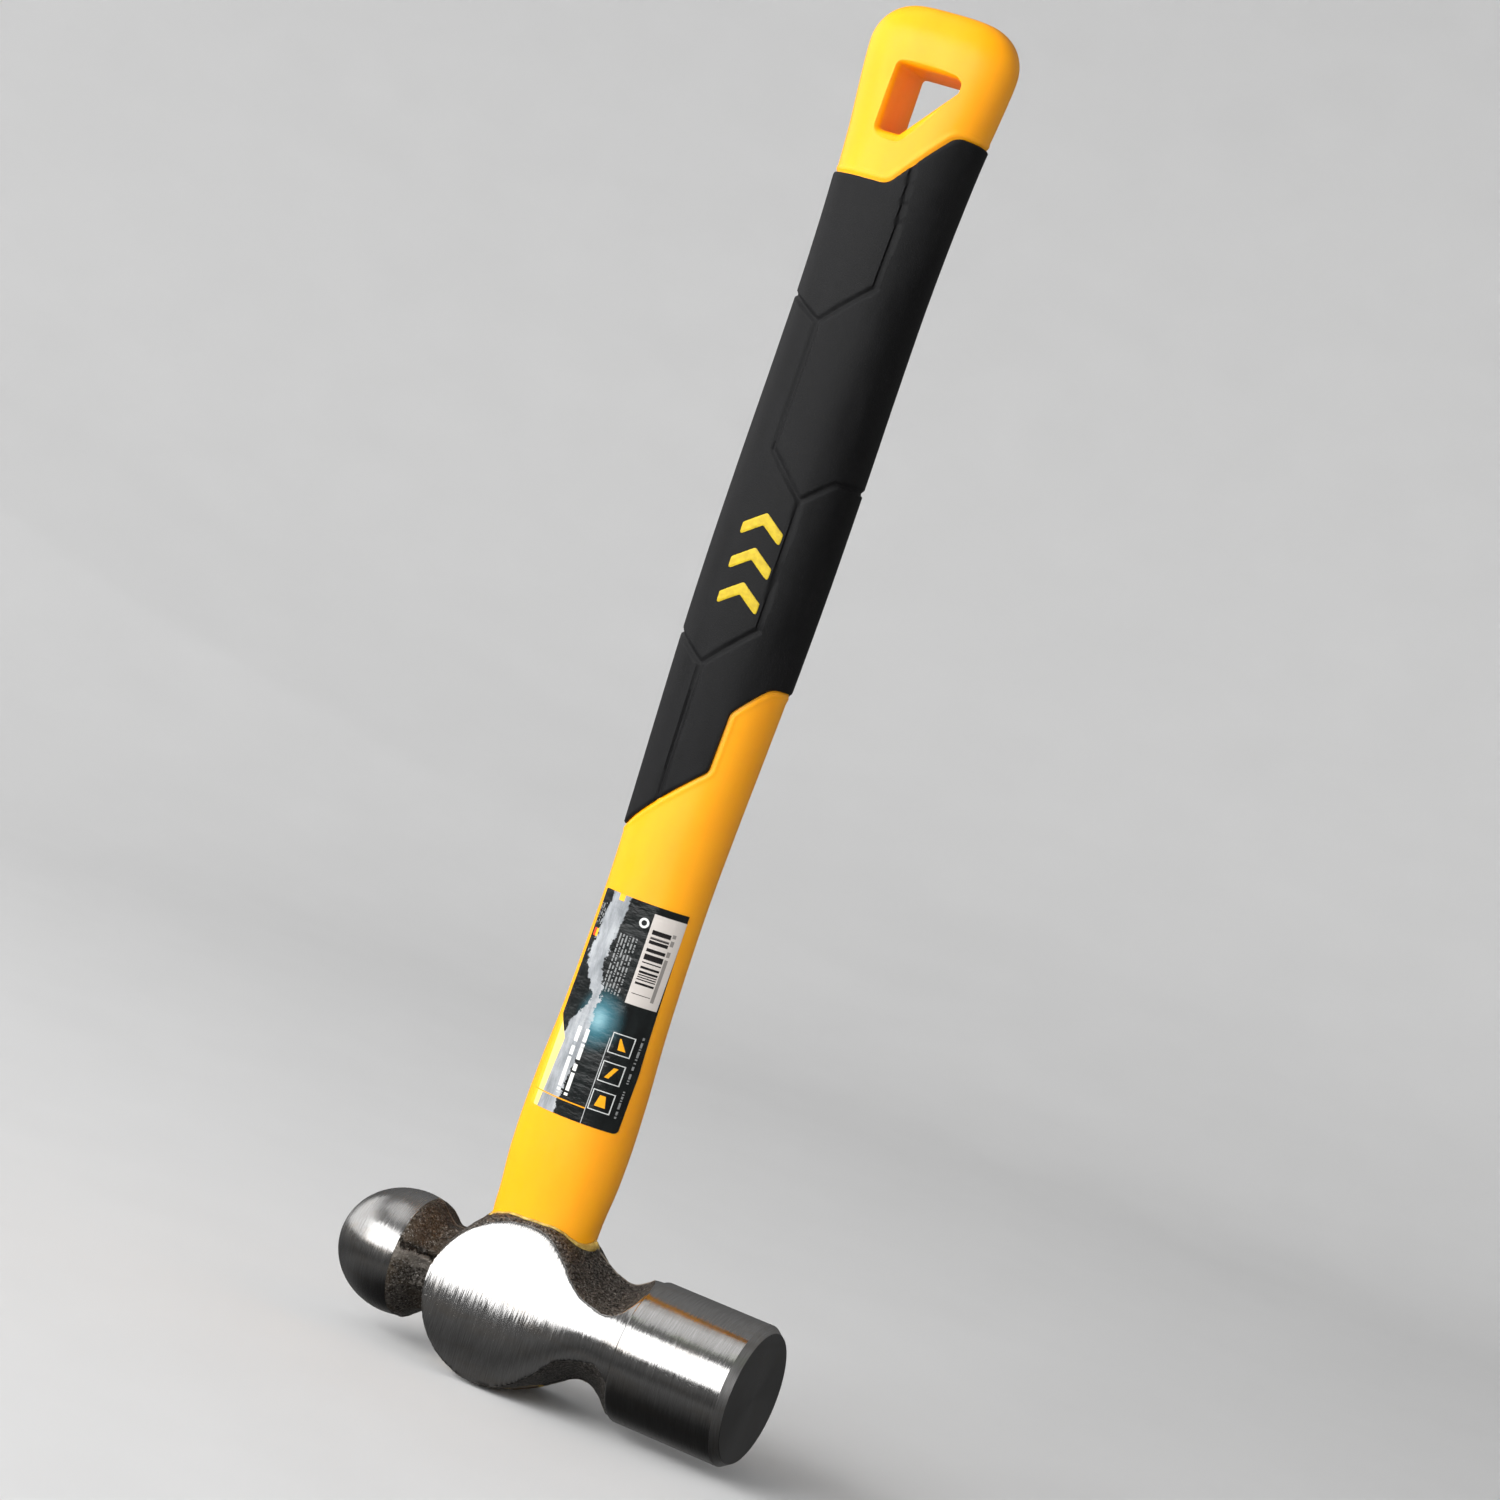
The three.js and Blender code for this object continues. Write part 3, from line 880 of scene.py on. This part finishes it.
def forged_skin(g):
    """Colour, roughness and relief of the forging's dark scale, with painted shade and painted
    highlights.
    """
    grit = g.noise(1.35, 5, 0.74)
    lumps = g.noise(0.55, 3, 0.6)
    pits = g.fit(g.cells(1.5), 0.08, 0.42)
    patch = g.noise(0.13, 3, 0.6)
    rubbed = g.fit(g.noise(1.7, 3, 0.7), 0.57, 0.65)
    warm = g.times(g.fit(patch, 0.40, 0.62, 0.2, 1.0), g.fit(g.x, -12, -24, 0.08, 0.5))
    parting_line_highlight = g.times(g.fit(g.size(g.y), 0.5, 0.1), g.fit(patch, 0.4, 0.55))
    colour = g.mix(g.fit(grit, 0.40, 0.62), rgb(34, 32, 31), rgb(128, 123, 117))
    colour = g.paint(
        colour,
        (warm, (98, 82, 62), 1),
        (rubbed, (200, 195, 188), 0.7),
        # painted shade: darker the deeper the forged skin lies below the ground surfaces, in its
        # hollows
        (g.fit(g.read("ground"), -0.3, -3.5, 0.0, 0.22), (40, 37, 34), 1),
    )
    # painted shade and painted highlight along the die step
    colour = ledge_painted_shade_and_highlight(g, colour)
    # painted highlight: a paler, patchy band along the parting line of the dies
    colour = g.paint(colour, (parting_line_highlight, (168, 160, 148), 1))
    relief = g.plus(g.times(grit, 0.75), g.times(lumps, 0.9))
    relief = g.plus(relief, g.times(pits, 0.22))
    return colour, g.fit(rubbed, 0, 1, 0.48, 0.32), g.bump(relief, 0.5)


def ledge_painted_shade_and_highlight(g, colour):
    """Painted shade as a ragged dark line along the die step on the ball's neck, with a painted
    highlight on the lip below it.
    """
    turn = g.math("ARCTAN2", g.minus(g.z, HEAD_AXIS_Z), g.size(g.y))
    ragged = g.even(g.noise(0.55, 4, 0.65), 0.3, 0.7, -0.09, 0.09)
    off_ledge = g.plus(g.minus(turn, math.radians(LEDGE.angle)), ragged)
    on_neck = g.fit(g.x, BALL_NECK.start, BALL_NECK.start - 3)
    lip = g.both(g.between(off_ledge, -0.28, -0.04), on_neck)
    groove_painted_shade = g.both(g.fit(g.size(off_ledge), 0.075, 0.0), on_neck)
    # painted highlight on the lip below the step, painted shade in its groove
    return g.paint(colour, (lip, (186, 178, 168), 0.35), (groove_painted_shade, (10, 9, 8), 0.85))


def ground_colour(g, marks, height, on_face):
    """Bright steel with faint temper colours on the poll and a darker striking face."""
    on_poll = g.above(g.x, POLL.back)
    temper = g.both(g.between(height, 14.0, 15.6, 0.6), on_poll)
    patchy = g.fit(g.noise((0.06, 0.3, 0.3)), 0.4, 0.7)
    sheen = g.both(g.between(height, 9.5, 12.5, 1.2), on_poll, patchy)
    stain = g.fit(g.noise((0.05, 0.22, 0.22), 3, 0.6, 0.4), 0.45, 0.75)
    colour = g.mix(marks, rgb(176, 174, 172), rgb(218, 217, 216))
    return g.paint(
        colour,
        (temper, (150, 140, 126), 0.3),
        (sheen, (184, 196, 164), 0.5),
        (stain, (186, 170, 150), 0.3),
        (on_face, (98, 98, 99), 0.8),
    )


def ground_roughness(g, marks, on_face):
    broad = g.noise((0.5, 0.05, 0.05), 2, 0.5)
    beyond_chamfer = g.above(g.x, POLL.face - POLL.chamfer)
    on_chamfer = g.both(beyond_chamfer, g.minus(1.0, on_face))
    rough = g.plus(g.even(marks, 0, 1, 0.11, 0.22), g.times(on_face, 0.14))
    rough = g.plus(rough, g.times(on_chamfer, 0.22))
    rough = g.plus(rough, g.fit(g.x, BALL.rim, BALL.rim - 1, 0, 0.08))
    return g.plus(rough, g.fit(broad, 0.35, 0.7, -0.02, 0.05))


def leaned(g, normal):
    _, across, up = g.split(normal)
    streak = g.noise((4.0, 0.16, 0.16), 3, 0.65)
    lean = g.even(streak, 0.3, 0.7, -0.035, 0.035)
    tip = g.combine(0.0, g.times(g.times(up, lean), -1.0), g.times(across, lean))
    return g.vector("NORMALIZE", g.vector("ADD", normal, tip))


def ground_steel(g):
    """Colour, roughness and normal of the ground steel, whose marks run round the head."""
    on_face = g.above(g.x, POLL.face - 0.1)
    height = g.minus(g.z, HEAD_AXIS_Z)
    radius = g.math("SQRT", g.plus(g.math("POWER", g.y, 2.0), g.math("POWER", height, 2.0)))
    coarse = g.noise((3.4, 0.11, 0.11), 3, 0.6)
    fine = g.noise((9.0, 0.30, 0.30), 2, 0.6)
    marks = g.even(g.plus(g.times(coarse, 0.45), g.times(fine, 0.55)), 0.3, 0.7)
    rings = g.noise(1.0, 4, 0.7, place=g.combine(g.times(radius, 3.0)))
    nicks = g.fit(g.noise(1.1, 3, 0.7), 0.66, 0.72)
    relief = g.minus(g.plus(marks, g.times(on_face, rings)), g.times(nicks, 0.6))
    colour = ground_colour(g, marks, height, on_face)
    rough = ground_roughness(g, marks, on_face)
    return colour, rough, leaned(g, g.bump(relief, 0.009))


def steel_material():
    g = Graph("head_steel_look")
    skin, skin_rough, skin_normal = forged_skin(g)
    bright, bright_rough, bright_normal = ground_steel(g)
    wander = g.even(g.noise(1.2, 3, 0.6), 0.3, 0.7, -0.05, 0.05)
    ground = g.above(g.plus(g.read("ground"), wander), 0.02, 0.04)
    tangent = g.add("ShaderNodeTangent", direction_type="RADIAL", axis="X")
    g.set(
        Base_Color=g.mix(ground, skin, bright),
        Metallic=g.fit(ground, 0, 1, 0.75, 1.0),
        Roughness=g.mix(ground, skin_rough, bright_rough, "FLOAT"),
        Normal=g.mix(ground, skin_normal, bright_normal, "VECTOR"),
        Tangent=tangent.outputs[0],
        Anisotropic=0.75,
        Anisotropic_Rotation=0.25,
    )
    return g.material


def jacket_material():
    g = Graph("jacket_yellow_look")
    drift = g.noise((0.06, 0.06, 0.02), 3, 0.5)
    fleck = g.fit(g.noise(2.4, 2, 0.5), 0.72, 0.8)
    eye_painted_shade = g.fit(g.z, seal_base - 4, seal_base - 6)
    colour = g.mix(g.fit(drift, 0.3, 0.7), rgb(250, 162, 1), rgb(254, 170, 4))
    # painted shade: the jacket is darkened to brown where it runs down inside the eye
    colour = g.paint(colour, (fleck, (200, 130, 10), 0.12), (eye_painted_shade, (96, 72, 36), 1))
    rubbed = g.noise((0.5, 0.5, 0.12), 4, 0.65)
    grain = g.noise(2.0, 4, 0.6)
    swell = g.noise(0.12, 1, 0.5)
    g.set(
        Base_Color=colour,
        Roughness=g.even(rubbed, 0.3, 0.7, 0.30, 0.44),
        Normal=g.bump(g.plus(g.times(grain, 0.012), g.times(swell, 0.12)), 1.0),
        Subsurface_Weight=0.2,
        Subsurface_Radius=(1.0, 0.45, 0.08),
        Subsurface_Scale=0.003,
    )
    return g.material


def grip_material():
    g = Graph("grip_black_look")
    grain = g.noise(3.2, 3, 0.6)
    pebble = g.cells(2.4)
    bloom = g.noise((0.10, 0.10, 0.03), 4, 0.6)
    colour = g.mix(g.fit(bloom, 0.35, 0.7), rgb(16, 16, 17), rgb(24, 24, 25))
    colour = g.paint(colour, (g.fit(grain, 0.6, 0.8, 0, 0.25), (54, 54, 55), 1))
    g.set(
        Base_Color=colour,
        Roughness=g.even(bloom, 0.3, 0.7, 0.50, 0.62),
        Normal=g.bump(g.plus(g.times(grain, 0.6), g.times(pebble, 0.4)), 0.07),
        Specular_IOR_Level=0.3,
    )
    return g.material


def emblem_material():
    g = Graph("emblem_yellow_look")
    cloud = g.noise(0.5, 4, 0.6)
    g.set(
        Base_Color=g.mix(g.fit(cloud, 0.3, 0.7), rgb(184, 156, 18), rgb(204, 178, 28)),
        Roughness=g.even(cloud, 0.3, 0.7, 0.36, 0.5),
        Normal=g.bump(g.noise(3.0, 3, 0.6), 0.03),
    )
    return g.material


def resin_material():
    g = Graph("epoxy_look")
    cloud = g.noise(0.35, 5, 0.65)
    bubbles = g.fit(g.cells(1.3), 0.05, 0.16, 1.0, 0.0)
    colour = g.mix(g.fit(cloud, 0.3, 0.7), rgb(150, 118, 50), rgb(206, 178, 96))
    g.set(
        Base_Color=g.paint(colour, (bubbles, (240, 225, 170), 0.4)),
        Roughness=g.even(cloud, 0.3, 0.7, 0.16, 0.34),
        Normal=g.bump(g.minus(cloud, g.times(bubbles, 0.2)), 0.3),
        Subsurface_Weight=0.25,
        Subsurface_Radius=(1.0, 0.7, 0.3),
        Subsurface_Scale=0.002,
    )
    return g.material


def rod_material():
    g = Graph("glass_fibre_look")
    strands = g.cells((3.0, 3.0, 0.02))
    cloud = g.noise((0.3, 0.3, 0.05), 3, 0.6)
    colour = g.mix(g.fit(strands, 0.1, 0.6), rgb(222, 206, 160), rgb(168, 146, 92))
    g.set(
        Base_Color=g.paint(colour, (g.fit(cloud, 0.4, 0.7, 0, 0.5), (196, 176, 120), 1)),
        Roughness=g.even(strands, 0.1, 0.6, 0.35, 0.6),
        Normal=g.bump(strands, 0.05),
    )
    return g.material


# -------- label art, in millimetres

# x runs across the label as in the part's frame, t up from its lower edge; a field is its
# left, right, low and high edges.
STREAK = Record(
    centre=[(0, -8.5), (26, -4.2), (32, -2.0), (42, -6.5), (61, -4.6)],
    half=[(0, 5.0), (24, 3.6), (30, 1.3), (41, 3.0), (61, 3.0)],
)
GLOW = Record(x=0.5, t=27.5, squash=0.8, wide=8.0, tight=3.5)

# print: half height of a line as a share of the pitch of the rows, that pitch, length of a
# stroke, share of strokes left out, field
PRINT = {
    "title": (0.25, 2.6, 0.62, 0.2, (-5.2, 0.0, 5.5, 24.0)),
    "small": (0.26, 0.95, 0.32, 0.35, (-1.9, 3.8, 35.0, 51.0)),
    "corner": (0.26, 0.8, 0.3, 0.4, (-11.2, -8.8, 51.0, 57.0)),
    "side": (0.26, 1.0, 0.35, 0.35, (12.0, 13.0, 4.0, 27.0)),
    "ticks": (0.4, 1.0, 0.75, 0.1, (11.1, 11.9, 36.0, 55.0)),
}
PAPER = (5.6, 13.0, 34.1, 58.8)
BARS = Record(field=(6.4, 10.9, 37.0, 55.6), per_mm=3.2, blank=0.48)
FRAME = Record(x=8.3, inner=2.55, outer=2.8)
# signs: height of the middle, slant, half width at the foot and at the top
SIGNS = [(23.0, 0.35, 1.0, 0.15), (15.1, -0.5, 0.55, 0.55), (7.2, 0.0, 1.4, 0.7)]
TAG = Record(field=(-10.6, -8.9, 47.6, 49.8), middle=-9.7)
PANEL = Record(edge=-8.9, lean=0.07, slant=0.7, end=6.05, pale_edge=-10.4)
TAB = (-5.6, -3.8, 59.0, 62.0)
RULES = Record(long=(-13, 5.0, 4.0, 4.35), short=(5.0, 5.2, 0, 24))
RING = Record(x=3.7, t=55.6, inner=0.75, outer=1.35)


def stretches(g, knots):
    (start, value), total = knots[0], knots[0][1]
    for end, target in knots[1:]:
        total = g.plus(total, g.even(g.t, start, end, 0, target - value))
        start, value = end, target
    return total


def label_ground(g):
    """A ragged silver streak on black, with a soft glow where it narrows."""
    ragged = g.even(g.noise(0.45, 6, 0.75), 0.25, 0.75, -1.5, 1.5)
    off_centre = g.size(g.minus(g.plus(g.x, ragged), stretches(g, STREAK.centre)))
    streak = g.fit(g.minus(off_centre, stretches(g, STREAK.half)), 0.12, -0.12)
    shade = g.noise((0.3, 0.3, 0.08), 5, 0.65)
    silver = g.mix(g.fit(shade, 0.3, 0.7), rgb(120, 124, 128), rgb(172, 175, 178))
    above_glow = g.times(g.minus(g.t, GLOW.t), GLOW.squash)
    off_glow = g.length(g.combine(g.minus(g.x, GLOW.x), above_glow))
    colour = g.mix(g.fit(shade, 0.3, 0.8), rgb(12, 14, 14), rgb(26, 31, 31))
    colour = g.paint(colour, (g.fit(off_glow, GLOW.wide, 0.0), (70, 130, 145), 0.9))
    colour = g.mix(streak, colour, silver)
    return g.paint(colour, (g.fit(off_glow, GLOW.tight, 0.0), (150, 190, 198), 0.6))


def strokes(g, name):
    """Rows of short strokes that stand for one field of print."""
    half, pitch, length, blank, field = PRINT[name]
    chance = g.add("ShaderNodeTexWhiteNoise", noise_dimensions="2D")
    g.put(chance.inputs["Vector"], g.combine(g.cell(g.t, length), g.cell(g.x, pitch)))
    kept = g.above(chance.outputs["Value"], blank, 0.01)
    off_row = g.size(g.minus(g.math("FRACT", g.math("DIVIDE", g.x, pitch)), 0.5))
    line = g.fit(off_row, half, half - 0.08)
    return g.both(line, kept, g.rectangle(field))


def label_print(g, colour):
    small = g.either(*(strokes(g, name) for name in ("small", "corner", "side")))
    colour = g.paint(
        colour,
        (strokes(g, "title"), (236, 236, 232), 1),
        (small, (190, 192, 192), 0.45),
    )
    chance = g.add("ShaderNodeTexWhiteNoise", noise_dimensions="1D")
    g.put(chance.inputs["W"], g.math("FLOOR", g.times(g.t, BARS.per_mm)))
    kept = g.above(chance.outputs["Value"], BARS.blank, 0.01)
    bars = g.both(kept, g.rectangle(BARS.field, 0.03))
    ink = g.either(bars, g.times(strokes(g, "ticks"), 0.6))
    return g.paint(colour, (g.rectangle(PAPER), (206, 199, 193), 1), (ink, (30, 28, 28), 1))


def label_signs(g, colour):
    """Three framed signs: a flame, a bolt and a weight."""
    frames, signs = [], []
    for middle, slant, foot, top in SIGNS:
        dx, dt = g.minus(g.x, FRAME.x), g.minus(g.t, middle)
        reach = g.either(g.size(dx), g.size(dt))
        frames.append(g.between(reach, FRAME.inner, FRAME.outer, 0.04))
        off_middle = g.size(g.plus(dx, g.times(dt, slant)))
        half = g.even(dt, -1.6, 1.7, foot, top)
        sign = g.fit(g.minus(off_middle, half), 0.08, -0.08)
        signs.append(g.both(sign, g.between(dt, -1.5, 1.6)))
    return g.paint(
        colour,
        (g.either(*frames), (206, 208, 206), 1),
        (g.either(*signs), (246, 170, 26), 1),
    )


def label_panels(g, colour):
    """The coloured tag, the yellow panel with its pale strip, the tab, two rules and a ring."""
    tag_tone = g.mix(g.above(g.x, TAG.middle), rgb(214, 64, 34), rgb(246, 180, 40))
    colour = g.mix(g.rectangle(TAG.field), colour, tag_tone)
    off_edge = g.minus(g.x, g.times(g.t, PANEL.lean))
    off_end = g.plus(g.x, g.times(g.t, PANEL.slant))
    panel = g.both(
        g.fit(off_edge, PANEL.edge + 0.05, PANEL.edge - 0.05),
        g.fit(off_end, PANEL.end + 0.05, PANEL.end - 0.05),
    )
    tab = g.rectangle(TAB)
    off_ring = g.length(g.combine(g.minus(g.x, RING.x), g.minus(g.t, RING.t)))
    ring = g.between(off_ring, RING.inner, RING.outer)
    return g.paint(
        colour,
        (g.either(panel, tab), (244, 184, 44), 1),
        (g.both(panel, g.above(g.x, PANEL.pale_edge)), (250, 218, 128), 1),
        (g.rectangle(RULES.long), (236, 158, 22), 1),
        (g.rectangle(RULES.short), (220, 222, 222), 0.6),
        (ring, (226, 228, 226), 1),
    )


def label_material():
    g = Graph("label_film_look")
    g.t = g.minus(g.z, LABEL.low)
    colour = label_ground(g)
    for layer in (label_print, label_signs, label_panels):
        colour = layer(g, colour)
    creases = g.noise((0.12, 0.12, 0.3), 4, 0.6)
    g.set(
        Base_Color=colour,
        Roughness=g.even(creases, 0.3, 0.7, 0.10, 0.24),
        Normal=g.bump(creases, 0.25),
        Coat_Weight=0.6,
        Coat_Roughness=0.08,
    )
    return g.material


# -------- pieces in place


def finish_piece(piece, material, slot, *nodes):
    piece.data.materials.clear()
    piece.data.materials.append(material)
    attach(piece, "root")
    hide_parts(*nodes)


def make_pieces():
    finish_piece(build_head(), steel_material(), "head_steel", "hammer_head")
    finish_piece(build_jacket(), jacket_material(), "jacket_yellow", "handle_jacket")
    finish_piece(build_grip(), grip_material(), "grip_black", "grip_sleeve")
    emblem = emblem_material()
    for index in range(EMBLEM.count):
        finish_piece(build_emblem(index), emblem, "emblem_yellow", f"grip_emblem_{index + 1}")
    finish_piece(build_core(), rod_material(), "glass_fibre", "fibreglass_core")
    resin = resin_material()
    finish_piece(build_resin(), resin, "epoxy", "eye_resin")
    finish_piece(build_seal(), resin, "epoxy", "mouth_seal")
    finish_piece(build_label(), label_material(), "label_film", "product_label")


# -------- studio and camera

CAMERA_PLACE = (0.42345, -1.00919, 0.21641)
CAMERA_FORWARD = (-0.37765581, 0.92542353, -0.03110262)
CAMERA_UP = (-0.31146942, -0.09533136, 0.94546218)
LENS_MM, SENSOR_MM = 98.52, 36.0

# where each light stands and its two sides, in metres, and its power
LIGHT_TARGET = (0.0, 0.0, 0.12)
LIGHTS = {
    "key_softbox": ((-0.72, -1.97, 0.72), (3.4, 1.4), 35),
    "side_softbox": ((-2.09, 0.10, 0.72), (2.3, 1.4), 10),
    "diffuse_fill": ((-1.25, -1.5, 0.9), (2.6, 1.4), 66),
    "top_softbox": ((-0.75, -0.45, 1.75), (1.5, 0.9), 2.6),
}

# share of the way from straight below to straight above, brightness
SKY = [
    (0.0, 0.012), (0.07, 0.02), (0.13, 0.05), (0.26, 0.11), (0.33, 0.06),
    (0.42, 0.11), (0.5, 0.10), (0.56, 0.12), (0.75, 0.16), (1.0, 0.24),
]
FLOOR = Record(inner=0.02, flat=0.9, wall=2.6, height=2.6, rings=40, around=96)
FLOOR_DROP = 0.00005


def stage_material():
    g = Graph("pale_paper")
    mottle = g.noise(0.02, 4, 0.5)
    g.set(
        Base_Color=g.mix(mottle, rgb(207, 207, 207), rgb(212, 212, 212)),
        Roughness=g.fit(mottle, 0.3, 0.7, 0.85, 0.95),
        Normal=g.bump(g.noise(0.5, 3, 0.5), 0.05, 0.3),
    )
    return g.material


def build_floor():
    turn = np.linspace(0, math.pi / 2, FLOOR.rings)
    sweep = FLOOR.flat + (FLOOR.wall - FLOOR.flat) * np.sin(turn)
    radii = np.concatenate([[FLOOR.inner, FLOOR.flat / 2], sweep])[:, None]
    rise = np.concatenate([[0.0, 0.0], FLOOR.height * (1 - np.cos(turn))])[:, None]
    angle = -circle(FLOOR.around)[None]
    level = (rise - FLOOR_DROP) * np.ones_like(angle)
    points = np.stack([radii * np.cos(angle), radii * np.sin(angle), level], axis=-1) / MM
    index = np.arange(level.size).reshape(level.shape)
    faces = quads(index) + [index[0, ::-1].tolist()]
    floor = make_object("pale_floor", points.reshape(-1, 3), faces)
    floor.data.shade_smooth()
    floor.data.materials.append(stage_material())
    floor.visible_glossy = False
    floor.visible_shadow = False


def area_light(name):
    place, size, power = LIGHTS[name]
    data = bpy.data.lights.new(name, "AREA")
    data.shape = "RECTANGLE"
    data.size, data.size_y = size
    data.energy = power
    lamp = bpy.data.objects.new(name, data)
    bpy.context.scene.collection.objects.link(lamp)
    lamp.location = place
    lamp.rotation_mode = "QUATERNION"
    to_target = Vector(LIGHT_TARGET) - Vector(place)
    lamp.rotation_quaternion = to_target.to_track_quat("-Z", "Y")
    lamp.visible_camera = False
    lamp.visible_glossy = name != "diffuse_fill"


def build_world():
    world = bpy.data.worlds.new("studio")
    bpy.context.scene.world = world
    world.use_nodes = True
    nodes, link = world.node_tree.nodes, world.node_tree.links.new
    split, shift = nodes.new("ShaderNodeSeparateXYZ"), nodes.new("ShaderNodeMath")
    shift.operation = "MULTIPLY_ADD"
    shift.inputs[1].default_value = 0.5
    shift.inputs[2].default_value = 0.5
    height = nodes.new("ShaderNodeValToRGB")
    elements = height.color_ramp.elements
    while len(elements) < len(SKY):
        elements.new(0.5)
    for element, (position, value) in zip(elements, SKY):
        element.position = position
        element.color = (value, value, value, 1)
    link(nodes.new("ShaderNodeTexCoord").outputs["Generated"], split.inputs[0])
    link(split.outputs["Z"], shift.inputs[0])
    link(shift.outputs[0], height.inputs[0])
    link(height.outputs[0], nodes["Background"].inputs["Color"])


def build_camera():
    data = bpy.data.cameras.new("camera")
    data.lens, data.sensor_width = LENS_MM, SENSOR_MM
    data.clip_start, data.clip_end = 0.05, 20
    camera = bpy.data.objects.new("camera", data)
    bpy.context.scene.collection.objects.link(camera)
    forward, up = Vector(CAMERA_FORWARD), Vector(CAMERA_UP)
    turn = Matrix((forward.cross(up), up, -forward)).transposed().to_4x4()
    camera.matrix_world = Matrix.Translation(CAMERA_PLACE) @ turn
    bpy.context.scene.camera = camera


def build_studio():
    build_floor()
    build_world()
    for name in LIGHTS:
        area_light(name)
    build_camera()
    bpy.context.scene.view_settings.view_transform = "Standard"


make_pieces()
build_studio()
